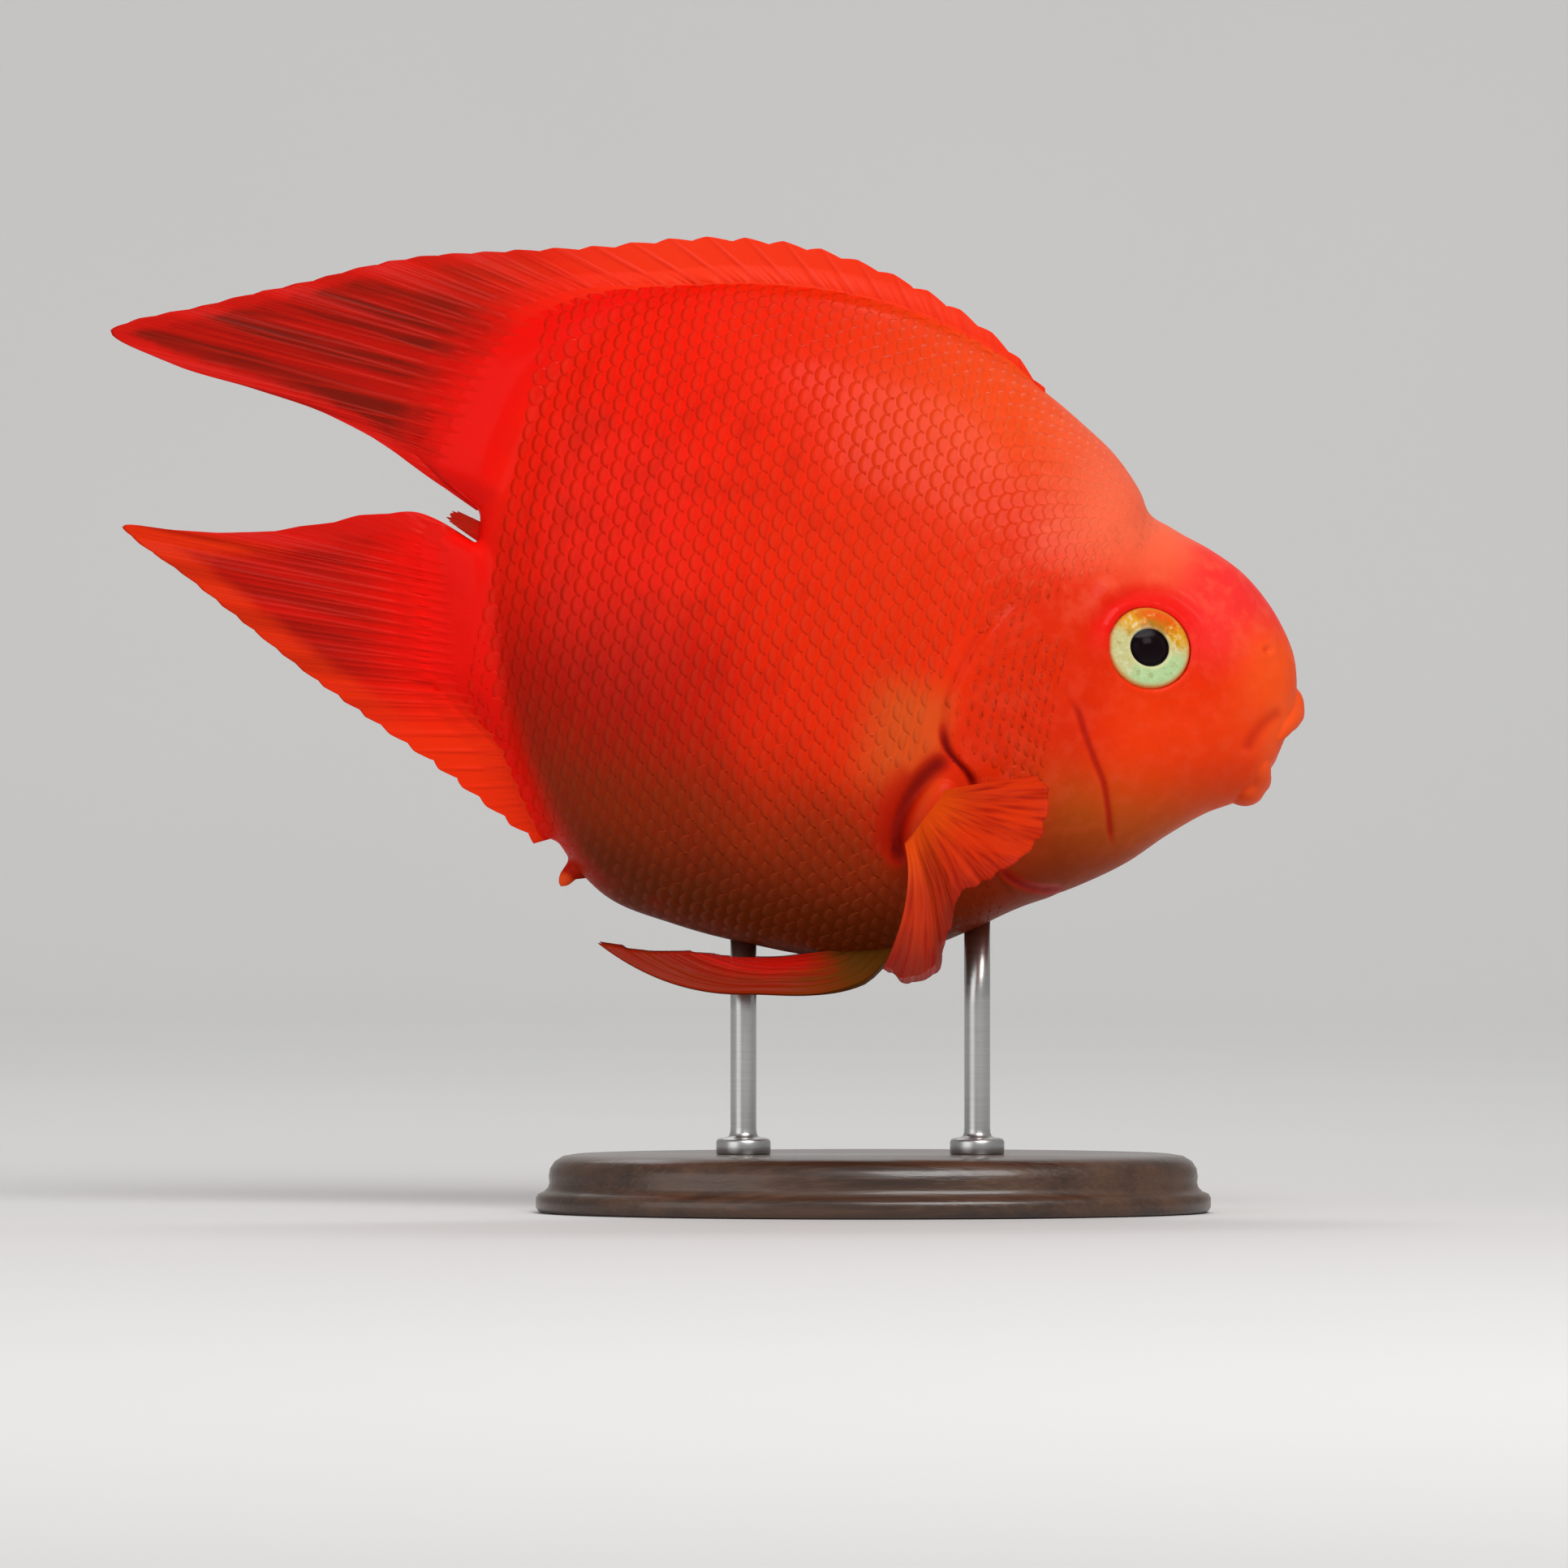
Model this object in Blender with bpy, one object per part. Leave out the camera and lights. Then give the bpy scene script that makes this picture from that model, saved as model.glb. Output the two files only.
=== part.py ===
"""A blood parrot cichlid of the heart-shaped kind, which has no tail fin, life size, on a plain stand.

Every size of the fish is in millimetres in its own level frame: +X towards the snout, +Y towards its
left side, +Z up, with zero in the middle of the body. One empty tips that frame nose down and lifts it
onto the stand, whose sizes are in the upright frame with zero under the middle of the base.
"""

import math

import bmesh
import bpy
import numpy as np
from mathutils import Matrix, Vector
from mathutils.bvhtree import BVHTree

MM = 0.001
GAP = 0.3  # between pieces that touch
REACH = 40.0  # a cutter's half width, more than any of the fish's
BEYOND = 80.0  # a place past the snout, the back or the belly

# How the fish is held
NOSE_DOWN = math.radians(12.0)
FISH_FORWARD = 3.0
FISH_HEIGHT = 88.0

# The body as stations from mouth to tail stub: its top (x, z), its bottom (x, z) and its half width
STATIONS = [
    ((63.2, 0.4), (61.3, -6.4), 3.2),  # mouth
    ((62.7, 4.2), (60.0, -9.6), 6.0),  # lips
    ((61.2, 9.9), (57.4, -12.8), 8.8),  # snout
    ((57.6, 15.4), (52.8, -15.8), 11.6),  # nostrils
    ((51.4, 20.9), (47.6, -20.4), 14.2),  # forehead
    ((45.0, 23.9), (42.4, -25.8), 16.2),  # front of the eyes
    ((39.0, 25.8), (37.6, -29.6), 17.8),  # eyes
    ((34.6, 27.8), (33.2, -32.6), 19.0),  # dent behind the crown
    ((32.2, 30.8), (30.2, -34.4), 19.8),  # nape
    ((28.4, 34.5), (26.6, -36.8), 20.5),  # hump of the nape
    ((21.4, 39.0), (20.8, -41.2), 21.6),  # gill covers
    ((12.4, 43.6), (12.4, -46.4), 22.6),  # pectoral fins
    ((2.0, 47.6), (2.0, -49.5), 23.2),  # pelvic fins
    ((-11.0, 50.2), (-11.0, -50.2), 23.2),  # deepest
    ((-25.0, 50.2), (-24.0, -49.6), 21.8),  # belly
    ((-38.0, 48.2), (-35.5, -47.4), 19.0),  # vent
    ((-48.4, 44.0), (-44.6, -40.4), 15.2),  # rump
    ((-57.0, 37.4), (-52.4, -30.4), 11.2),  # soft fins
    ((-62.6, 28.6), (-58.4, -19.4), 7.4),  # back edge
    ((-65.6, 16.4), (-62.4, -7.4), 4.6),  # tail stub
    ((-66.4, 7.0), (-65.2, 0.4), 2.6),  # end of the stub
]
WIDEST_LEVEL = (0.42, 0.50)  # share of the depth, at the mouth and at the tail stub
FOREHEAD_FULLNESS, BACK_FULLNESS = 2.35, 1.9  # 2 is an ellipse, less is keeled
THROAT_FULLNESS, BELLY_FULLNESS = 2.0, 2.2
HEAD_SHARE = 0.42  # of the stations' travel, where the head's fullness has given way to the body's
SLICES, AROUND = 42, 30

# Where head and trunk part: down from the nape's dent, then round the gill cover's lobe to the throat
NAPE_LINE = [(34.4, 36.0), (33.8, 29.5), (31.6, 23.0), (27.4, 17.6)]
GILL_EDGE = [
    (21.4, 13.5), (15.2, 7.0), (11.8, -1.3), (10.5, -9.3), (12.0, -14.4), (16.6, -18.2), (18.6, -23.6),
    (21.6, -30.6), (26.4, -34.6), (28.5, -40.0),
]
# The groove in front of the gill cover, down the hind edge of the cheek
CHEEK_GROOVE = [
    (21.4, 13.5), (24.5, 5.2), (27.5, -1.8), (31.0, -7.5), (34.7, -13.1), (37.2, -17.6), (39.6, -22.4),
    (40.6, -27.0), (41.6, -34.0),
]
COVER_LIFT, COVER_FADE = 1.0, 13.0  # the cover's edge stands proud and fades forward
COVER_BEHIND = 6.0  # how far the lifted skin runs on under the edge before the flank is reached
COVER_THICKNESS = 2.4
THROAT_HALF_WIDTH = 4.5  # of the flesh between the two covers
TAIL_LINE = -54.0  # where the trunk ends and the stub begins

# The jaws: the line that parts the lower one, and the ring of the lips around the open mouth
JAW_LINE = [(66.0, -3.9), (59.6, -4.7), (56.4, -7.2), (53.0, -11.4), (50.6, -16.0), (48.8, -24.0)]
LIP_CORNER = (58.6, 6.6, -4.7)
UPPER_LIP_FRONT = (62.8, 1.8)
LOWER_LIP_FRONT = (59.9, -9.0)
UPPER_LIP_RADIUS, LOWER_LIP_RADIUS = 1.75, 2.1
MOUTH_CENTRE, MOUTH_RADII = (61.9, 0.0, -3.4), (6.2, 4.7, 3.6)
MOUTH_TILT = math.radians(16.0)

EYE_AT = (38.5, 7.0)
EYE_RADIUS, EYE_DEPTH, EYE_SUNK = 6.4, 3.7, 1.2
SOCKET_RIM, SOCKET_RIM_RADIUS, SOCKET_RIM_SUNK = 7.0, 0.9, 0.35
NOSTRIL_AT, NOSTRIL_RADIUS = (56.4, 10.4), 0.9

# Fin membranes and rays
MEMBRANE, RAY_RIDGE, RAY_FOOT, NOTCH = 0.56, 0.9, 0.55, 0.9
RAY_CROWD = 1.4  # above 1, the rows of a fin stand closer together near its root
FOOT_SHARE = 0.3  # the widest a ridge's foot may be, of the way to the next ray
ROOT_SUNK = 3.0  # how deep a median fin starts in the flesh
STUB_MIDDLE = ((-65.8, 3.6), (-65.8, 2.4))  # where the upper and the lower fin's bases may end
FULL_SHEATH_RAY = 20.0  # a soft ray shorter than this has less of the sheath
FIN_SWAY = 1.4  # how far the soft rays' tips stray to each side of the middle line

# Each median fin: its base from and to along the body, its count of spines, of soft rays up to the fin's
# point and of rays behind it, where the spines and the point's ray end on the base, where the spines
# end on the margin, and the margin from the first spine's tip round the point and back to the body
DORSAL_BASE = ((17.6, 41.1), (-65.9, 6.4))
DORSAL_RAYS = (16, 8, 3)
DORSAL_BASE_SHARES, DORSAL_SPINES_END = (0.62, 0.88), 0.41
DORSAL_MARGIN = [
    (14.8, 43.0), (8.4, 47.8), (-0.9, 52.3), (-12.0, 55.4), (-26.0, 56.9), (-41.0, 55.0), (-57.0, 50.2),
    (-72.0, 46.2), (-86.0, 42.0), (-100.0, 35.4), (-114.0, 28.8), (-127.7, 21.4), (-116.5, 18.5),
    (-104.0, 17.5), (-92.3, 16.0), (-82.2, 12.9), (-73.5, 9.0), (-67.0, 6.4),
]
DORSAL_SHEATH = ((1.5, 4.0), (3.6, 16.0))  # half thickness and reach, along the spines and the soft rays
ANAL_BASE = ((-44.0, -41.0), (-65.0, -0.6))
ANAL_RAYS = (7, 7, 4)
ANAL_BASE_SHARES, ANAL_SPINES_END = (0.44, 0.84), 0.24
ANAL_MARGIN = [
    (-47.6, -42.0), (-57.0, -37.4), (-66.1, -33.0), (-75.0, -29.2), (-85.0, -24.8), (-97.0, -18.8),
    (-108.0, -13.2), (-119.6, -7.2), (-111.3, -6.2), (-100.6, -4.2), (-91.2, -1.0), (-83.5, 2.2),
    (-75.4, 4.2), (-70.6, 3.2), (-66.8, 1.4),
]
ANAL_SHEATH = ((1.6, 4.0), (3.6, 14.0))

TAIL_RAYS = 5
TAIL_BASE = ((-63.6, 4.3), (-63.4, 3.0))
TAIL_MARGIN = [(-69.9, 5.5), (-70.7, 5.0), (-70.7, 4.2), (-69.7, 3.7)]
TAIL_FLESH, TAIL_FLESH_REACH, TAIL_RIDGE, TAIL_NOTCH = 0.9, 5.0, 0.4, 0.5

# The paired fins: x, how far out from the flank, and z
PECTORAL_RAYS = 12
PECTORAL_LOBE, PECTORAL_LOBE_RADII = (10.4, -0.4, -25.4), (4.4, 3.0, 7.6)
PECTORAL_LOBE_TURN = math.radians(14.0)
PECTORAL_BASE = [(13.2, 1.0, -21.4), (11.2, 1.3, -25.6), (9.0, 1.0, -30.4)]
PECTORAL_MARGIN = [
    (25.6, 9.0, -15.6), (28.0, 12.0, -18.6), (28.0, 14.0, -24.0), (25.2, 15.0, -29.2),
    (21.0, 14.6, -33.2), (18.2, 13.0, -37.0), (17.0, 11.0, -42.4), (16.6, 9.4, -48.6),
    (12.8, 8.4, -50.8), (8.6, 7.4, -49.4),
]
PECTORAL_BOW_FORWARD, PECTORAL_BOW_OUT = (-1.0, 1.2), 2.4  # for the first and last ray, and for all
PECTORAL_FLESH, PECTORAL_FLESH_REACH, PECTORAL_RIDGE, PECTORAL_NOTCH = 0.5, 8.0, 0.5, 1.0
PELVIC_RAYS = 6
PELVIC_BASE = [(10.6, -5.6), (3.2, -4.6)]  # x and y on the right side of the belly
PELVIC_MARGIN = [(-34.6, -9.4, -54.8), (-29.4, -8.4, -54.8), (-22.0, -7.2, -53.6), (-11.0, -6.0, -52.2)]
PELVIC_BOW_DOWN, PELVIC_BOW_OUT = (7.0, 1.0), (1.6, 0.4)  # for the first and last ray
PELVIC_SUNK = 1.4
PELVIC_FLESH, PELVIC_FLESH_REACH, PELVIC_NOTCH = 0.9, 12.0, 0.5

VENT_AT, VENT_RADII, VENT_LEAN = (-41.2, -45.2), (1.5, 1.4, 3.0), math.radians(28.0)

# The stand
BASE_LENGTH, BASE_DEPTH, BASE_HEIGHT, BASE_ROUNDING = 104.0, 68.0, 9.0, 2.0
ROD_RADIUS, ROD_AT, ROD_FOOT, ROD_TOP = 2.0, (16.0, -20.0), 4.0, 70.0  # the tops end on the belly
COLLAR_RADIUS, COLLAR_HEIGHT = 4.2, 2.4


def clear_scene():
    """Removes whatever the open file holds."""
    for thing in list(bpy.data.objects):
        bpy.data.objects.remove(thing)


def material(name, colour, roughness, metallic=0.0):
    """A Principled finish with one colour."""
    made = bpy.data.materials.new(name)
    made.use_nodes = True
    shader = made.node_tree.nodes["Principled BSDF"]
    shader.inputs["Base Color"].default_value = (*colour, 1.0)
    shader.inputs["Roughness"].default_value = roughness
    shader.inputs["Metallic"].default_value = metallic
    return made


def through(points, count):
    """So many points evenly along the smooth curve through these ones."""
    knots_at = np.array(points, float)
    knots = np.concatenate([[0.0], np.cumsum(np.linalg.norm(np.diff(knots_at, axis=0), axis=1))])
    fine = hermite(knots, knots_at, np.linspace(0.0, knots[-1], 30 * len(points)))
    travel = np.concatenate([[0.0], np.cumsum(np.linalg.norm(np.diff(fine, axis=0), axis=1))])
    wanted = np.linspace(0.0, travel[-1], count)
    return np.stack([np.interp(wanted, travel, fine[:, k]) for k in range(fine.shape[1])], axis=1)


def hermite(knots, values, wanted):
    """Smooth values at the wanted places between knots, column by column."""
    slopes = np.gradient(values, knots, axis=0)
    k = np.clip(np.searchsorted(knots, wanted, side="right") - 1, 0, len(knots) - 2)
    step = (knots[k + 1] - knots[k])[:, None]
    t = (wanted[:, None] - knots[k][:, None]) / step
    rise = values[k] * (1 + 2 * t) * (1 - t) ** 2 + values[k + 1] * t * t * (3 - 2 * t)
    return rise + step * (slopes[k] * t * (1 - t) ** 2 - slopes[k + 1] * t * t * (1 - t))


def ease(t):
    """0 to 1, flat at both ends."""
    t = np.clip(t, 0.0, 1.0)
    return t * t * (3 - 2 * t)


def body_rows(count):
    """Stations spread evenly over the body: share of the travel, top x and z, bottom x and z, half width."""
    table = np.array([[*top, *bottom, wide] for top, bottom, wide in STATIONS])
    moves = np.abs(np.diff(table, axis=0))
    steps = (np.hypot(moves[:, 0], moves[:, 1]) + np.hypot(moves[:, 2], moves[:, 3])) / 2
    knots = np.concatenate([[0.0], np.cumsum(steps)]) / steps.sum()
    share = np.linspace(0.0, 1.0, count)
    return np.hstack([share[:, None], hermite(knots, table, share)])


def section(row, angles):
    """One cross-section of the body, as points around it from the left flank over the back."""
    share, top, bottom, wide = row[0], row[1:3], row[3:5], row[5]
    level = WIDEST_LEVEL[0] + (WIDEST_LEVEL[1] - WIDEST_LEVEL[0]) * share
    middle = bottom + (top - bottom) * level
    to_body = ease(share / HEAD_SHARE)
    upper = FOREHEAD_FULLNESS + (BACK_FULLNESS - FOREHEAD_FULLNESS) * to_body
    lower = THROAT_FULLNESS + (BELLY_FULLNESS - THROAT_FULLNESS) * to_body
    sine, cosine = np.sin(angles), np.cos(angles)
    power = 2.0 / np.where(sine > 0, upper, lower)
    rise = np.abs(sine) ** power
    reach = np.where((sine > 0)[:, None], top - middle, bottom - middle)
    side_view = middle + reach * rise[:, None]
    across = wide * np.sign(cosine) * np.abs(cosine) ** power
    return np.stack([side_view[:, 0], across, side_view[:, 1]], axis=1)


def cover_lift(x, z):
    """How far the gill cover stands proud at a place on the flank."""
    edge = np.array(GILL_EDGE[::-1])
    edge_x = np.interp(z, edge[:, 1], edge[:, 0])
    fade = ease(1.0 - (x - edge_x) / COVER_FADE) * (x > edge_x - COVER_BEHIND)
    in_height = ease((z + 36.0) / 8.0) * ease((20.0 - z) / 8.0)
    return COVER_LIFT * fade * in_height


def add_mesh(name, points, faces):
    """A mesh object from points in the fish's millimetres."""
    mesh = bpy.data.meshes.new(name)
    mesh.from_pydata([tuple(p) for p in np.array(points, float) * MM], [], faces)
    mesh.update()
    made = bpy.data.objects.new(name, mesh)
    bpy.context.scene.collection.objects.link(made)
    return made


def body_mesh(name, grow=0.0, lifted=False):
    """The whole body as one closed skin, moved out by grow, with the gill covers lifted or not."""
    angles = np.arange(AROUND) * 2 * math.pi / AROUND
    rings = [section(row, angles) for row in body_rows(SLICES)]
    points = np.vstack([*rings, rings[0].mean(axis=0), rings[-1].mean(axis=0)])
    faces = []
    for i in range(SLICES - 1):
        for j in range(AROUND):
            near, far, k = i * AROUND, (i + 1) * AROUND, (j + 1) % AROUND
            faces.append((near + j, far + j, far + k))
            faces.append((near + j, far + k, near + k))
    front, back, last = SLICES * AROUND, SLICES * AROUND + 1, (SLICES - 1) * AROUND
    for j in range(AROUND):
        k = (j + 1) % AROUND
        faces.append((front, j, k))
        faces.append((back, last + k, last + j))
    made = add_mesh(name, points, faces)
    outward(made)
    normals = np.array([v.normal for v in made.data.vertices])
    out = np.full(len(points), grow)
    if lifted:
        out += cover_lift(points[:, 0], points[:, 2])
    for vertex, place in zip(made.data.vertices, points + normals * out[:, None]):
        vertex.co = Vector(place) * MM
    made.data.update()
    return made


def outward(thing):
    """Turns every face to point out of the closed mesh."""
    mesh = bmesh.new()
    mesh.from_mesh(thing.data)
    bmesh.ops.recalc_face_normals(mesh, faces=mesh.faces)
    mesh.to_mesh(thing.data)
    mesh.free()


def prism(name, outline, low, high):
    """A side-view outline run across the fish from one y to another."""
    count = len(outline)
    points = [(x, y, z) for y in (low, high) for x, z in outline]
    faces = [tuple(range(count)), tuple(reversed(range(count, 2 * count)))]
    for i in range(count):
        j = (i + 1) % count
        faces.append((i, i + count, j + count, j))
    made = add_mesh(name, points, faces)
    outward(made)
    return made


def grown(outline, by):
    """A closed side-view outline moved out by a distance, by its corners' normals."""
    points = np.array(outline, float)
    ahead, behind = np.roll(points, -1, axis=0) - points, points - np.roll(points, 1, axis=0)
    ahead /= np.linalg.norm(ahead, axis=1)[:, None]
    behind /= np.linalg.norm(behind, axis=1)[:, None]
    turned = np.sum(points[:, 0] * np.roll(points[:, 1], -1) - points[:, 1] * np.roll(points[:, 0], -1))
    normals = np.stack([ahead[:, 1] + behind[:, 1], -ahead[:, 0] - behind[:, 0]], axis=1)
    normals *= np.sign(turned) / np.linalg.norm(normals, axis=1)[:, None]
    stretch = 1.0 / np.maximum(0.5, np.sqrt((1 + np.sum(ahead * behind, axis=1)) / 2))
    return [tuple(p) for p in points + normals * (by * stretch)[:, None]]


def ball(name, centre, radii, turn=None, segments=20, rings=10):
    """A closed ellipsoid, turned about its own centre."""
    mesh = bmesh.new()
    bmesh.ops.create_uvsphere(mesh, u_segments=segments, v_segments=rings, radius=1.0)
    size = Matrix.Diagonal((*[r * MM for r in radii], 1.0))
    place = Matrix.Translation(Vector(centre) * MM)
    bmesh.ops.transform(mesh, matrix=place @ (turn or Matrix()) @ size, verts=mesh.verts)
    made = add_mesh(name, [], [])
    mesh.to_mesh(made.data)
    mesh.free()
    return made


def tube(name, line, radius, sides=8, closed=False):
    """A round rod along a line of points, with rounded ends unless it is a closed ring."""
    line = np.array(line, float)
    count = len(line)
    points, faces = [], []
    for i in range(count):
        ahead = line[(i + 1) % count] if closed or i + 1 < count else line[i]
        behind = line[i - 1] if closed or i > 0 else line[i]
        along = Vector(ahead - behind).normalized()
        across = along.orthogonal() if i == 0 else (across - along * across.dot(along))
        across.normalize()
        other = along.cross(across)
        thin = 1.0 if closed else math.sqrt(max(0.09, 1 - (2 * i / (count - 1) - 1) ** 8))
        for j in range(sides):
            angle = 2 * math.pi * j / sides
            out = (across * math.cos(angle) + other * math.sin(angle)) * radius * thin
            points.append(line[i] + np.array(out))
    for i in range(count if closed else count - 1):
        for j in range(sides):
            near, far, k = i * sides, ((i + 1) % count) * sides, (j + 1) % sides
            faces.append((near + j, far + j, far + k, near + k))
    if not closed:
        faces.append(tuple(range(sides)))
        faces.append(tuple(range((count - 1) * sides, count * sides)))
    made = add_mesh(name, points, faces)
    outward(made)
    return made


def apply_modifiers(thing):
    """Makes the mesh what its modifiers show."""
    bpy.context.view_layer.update()
    seen = thing.evaluated_get(bpy.context.evaluated_depsgraph_get())
    mesh = bpy.data.meshes.new_from_object(seen)
    thing.modifiers.clear()
    thing.data = mesh


def apply_boolean(thing, others, operation):
    """Joins, cuts or keeps a mesh by others, which stay."""
    group = bpy.data.collections.new("operands")
    bpy.context.scene.collection.children.link(group)
    for other in others:
        group.objects.link(other)
    change = thing.modifiers.new("boolean", "BOOLEAN")
    change.operation, change.solver = operation, "EXACT"
    change.operand_type, change.collection = "COLLECTION", group
    apply_modifiers(thing)
    bpy.data.collections.remove(group)


def remove(*things):
    """Takes tools away once they have cut."""
    for thing in things:
        bpy.data.objects.remove(thing)


def copy_of(thing, name):
    """A second object with its own copy of the mesh."""
    made = bpy.data.objects.new(name, thing.data.copy())
    bpy.context.scene.collection.objects.link(made)
    return made


def keep_largest(thing):
    """Drops all but the largest closed surface."""
    mesh = bmesh.new()
    mesh.from_mesh(thing.data)
    bmesh.ops.remove_doubles(mesh, verts=mesh.verts, dist=1e-6)
    bmesh.ops.dissolve_degenerate(mesh, dist=1e-6, edges=mesh.edges)
    left, islands = set(mesh.verts), []
    while left:
        island, edge = set(), [left.pop()]
        while edge:
            vertex = edge.pop()
            island.add(vertex)
            for link in vertex.link_edges:
                other = link.other_vert(vertex)
                if other in left:
                    left.discard(other)
                    edge.append(other)
        islands.append(island)
    largest = max(islands, key=len)
    bmesh.ops.delete(mesh, geom=[v for v in mesh.verts if v not in largest], context="VERTS")
    mesh.to_mesh(thing.data)
    mesh.free()


def node(thing, name, finish, parent):
    """Finishes a piece as a named node with its own material, smooth where it is round."""
    keep_largest(thing)
    thing.name = thing.data.name = name
    thing.data.materials.clear()
    thing.data.materials.append(finish)
    thing.data.shade_smooth()
    thing.data.set_sharp_from_angle(angle=math.radians(40))
    thing.parent = parent
    return thing


def on_flank(tree, x, z, side):
    """The place on one flank at a spot of the side view, in millimetres, and the outward normal."""
    start = Vector((x, side * REACH, z)) * MM
    place, normal, _, _ = tree.ray_cast(start, Vector((0.0, -side, 0.0)))
    return np.array(place) / MM, normal


def fan(name, roots, tips, bow, flesh, rows, ridge, notch):
    """A fin: rays that run from roots to tips, bowed at their middle, with membrane between.

    Each ray is a ridge on both faces of the membrane, between two feet. flesh gives half the thickness
    of the flesh over the membrane, at a distance from the root, for a ray's share of the fin.
    """
    rays = len(roots)
    t = np.linspace(0.0, 1.0, rows) ** RAY_CROWD
    bend = 4 * t * (1 - t)
    core = roots[:, None] + (tips - roots)[:, None] * t[:, None] + bow[:, None] * bend[:, None]
    across, along = np.gradient(core, axis=0), unit(np.gradient(core, axis=1))
    normal = unit(np.cross(across, along))
    beside = np.cross(along, normal)
    room = np.sum(np.diff(core, axis=0) * (beside[1:] + beside[:-1]) / 2, axis=2)
    room = np.minimum(np.vstack([room, room[-1:]]), np.vstack([room[:1], room]))
    foot = np.clip(FOOT_SHARE * room, 0.05, RAY_FOOT)[:, :, None]
    short = (notch * t)[:, None] * along
    columns = np.stack([core - beside * foot - short, core, core + beside * foot - short], axis=1)
    half = np.zeros((rays, 3, rows))
    for i in range(rays):
        length = np.linalg.norm(tips[i] - roots[i])
        half[i] = flesh(i / (rays - 1), t * length) * (1.0 - t ** 3) + MEMBRANE / 2
        half[i, 1] += ridge / 2 * (1.0 - 0.7 * t)
    out = normal[:, None] * half[:, :, :, None]
    points = np.vstack([(columns + out).reshape(-1, 3), (columns - out).reshape(-1, 3)])
    made = add_mesh(name, points, two_sided_grid(3 * rays, rows))
    outward(made)
    return made


def unit(vectors):
    """Vectors brought to length one."""
    return vectors / np.linalg.norm(vectors, axis=-1, keepdims=True)


def two_sided_grid(columns, rows):
    """Triangles alike on both faces of a sheet of columns and rows, and the rim that closes it."""
    faces, back = [], columns * rows
    for i in range(columns - 1):
        for j in range(rows - 1):
            a, b = i * rows + j, (i + 1) * rows + j
            halves = [(a, b, b + 1), (a, b + 1, a + 1)]
            faces += halves
            faces += [tuple(back + v for v in reversed(half)) for half in halves]
    rim = [i * rows for i in range(columns)] + [(columns - 1) * rows + j for j in range(1, rows)]
    rim += [i * rows + rows - 1 for i in reversed(range(columns - 1))] + list(range(rows - 2, 0, -1))
    for a, b in zip(rim, rim[1:] + rim[:1]):
        faces += [(a, back + a, back + b), (a, back + b, b)]
    return faces


def at_y(points, y=0.0):
    """Side-view points set at one y."""
    points = np.array(points, float)
    return np.stack([points[:, 0], np.full(len(points), y), points[:, 1]], axis=1)


def edge_between(start, end, count, upper, sunk):
    """Points evenly along the body's top or bottom outline between two places, sunk into the flesh."""
    rows = body_rows(400)
    line = np.vstack([rows[:, 1:3] if upper else rows[:, 3:5], STUB_MIDDLE[0 if upper else 1]])
    first = int(np.argmin(np.linalg.norm(line - np.array(start), axis=1)))
    last = int(np.argmin(np.linalg.norm(line - np.array(end), axis=1)))
    part = through(line[first : last + 1 : 6], count)
    heading = np.gradient(part, axis=0)
    inward = unit(np.stack([heading[:, 1], -heading[:, 0]], axis=1))
    inward *= np.sign(-np.sum(inward * part, axis=1))[:, None]
    return part + inward * sunk


def spread(points, shares):
    """Rows of a fine line read at shares of its length."""
    travel = np.linspace(0.0, 1.0, len(points))
    return np.stack([np.interp(shares, travel, points[:, k]) for k in range(points.shape[1])], axis=1)


def ray_shares(rays, spines_end, point):
    """Each ray's share of the base or margin, from where the spines and the point's ray stand on it."""
    spines, soft, behind = rays
    marks = [0, spines - 1, spines + soft - 1, spines + soft + behind - 1]
    return np.interp(np.arange(sum(rays)), marks, [0.0, spines_end, point, 1.0])


def median_fin(name, base, margin, rays, base_shares, spines_end, upper, sheath):
    """The dorsal or the anal fin, on the middle line, with a fleshy sheath along its soft part.

    sheath has half its thickness at the root and how far out it fades, first for the spines and then
    for the soft rays.
    """
    place = ray_shares(rays, *base_shares)
    roots = at_y(spread(edge_between(*base, 200, upper, ROOT_SUNK), place))
    edge = through(margin, 400)
    point = int(np.argmin(edge[:, 0])) / (len(edge) - 1)
    tips = at_y(spread(edge, ray_shares(rays, spines_end, point)))
    soft = ease((place - base_shares[0] + 0.15) / 0.3)
    tips[:, 1] += FIN_SWAY * np.sin(np.linspace(0.0, 2 * math.pi, len(tips))) * soft
    full = ease(np.linalg.norm(tips - roots, axis=1) / FULL_SHEATH_RAY)

    def flesh(share, distance):
        ray = round(share * (len(tips) - 1))
        root_half = sheath[0][0] + (sheath[1][0] - sheath[0][0]) * soft[ray] * full[ray]
        fade_over = sheath[0][1] + (sheath[1][1] - sheath[0][1]) * soft[ray] * full[ray]
        return root_half * (1.0 - ease((distance - ROOT_SUNK) / fade_over)) ** 1.5

    return fan(name, roots, tips, np.zeros_like(roots), flesh, 6, RAY_RIDGE, NOTCH)


def thinning(half, reach):
    """Flesh over a fin's root, from half a thickness down to none at some way out."""
    return lambda share, distance: half * (1.0 - ease(distance / reach))


def tail_fringe(name):
    """The few short rays that are all there is of the tail fin."""
    roots = at_y(through(TAIL_BASE, TAIL_RAYS))
    tips = at_y(through(TAIL_MARGIN, TAIL_RAYS))
    flesh = thinning(TAIL_FLESH, TAIL_FLESH_REACH)
    return fan(name, roots, tips, np.zeros_like(roots), flesh, 5, TAIL_RIDGE, TAIL_NOTCH)


def off_flank(tree, points):
    """Places given as x, how far out from the right flank where the fin is rooted, and z."""
    root_x, _, root_z = PECTORAL_LOBE
    flank = on_flank(tree, root_x, root_z, -1)[0][1]
    points = np.array(points, float)
    points[:, 1] = flank - points[:, 1]
    return points


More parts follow.
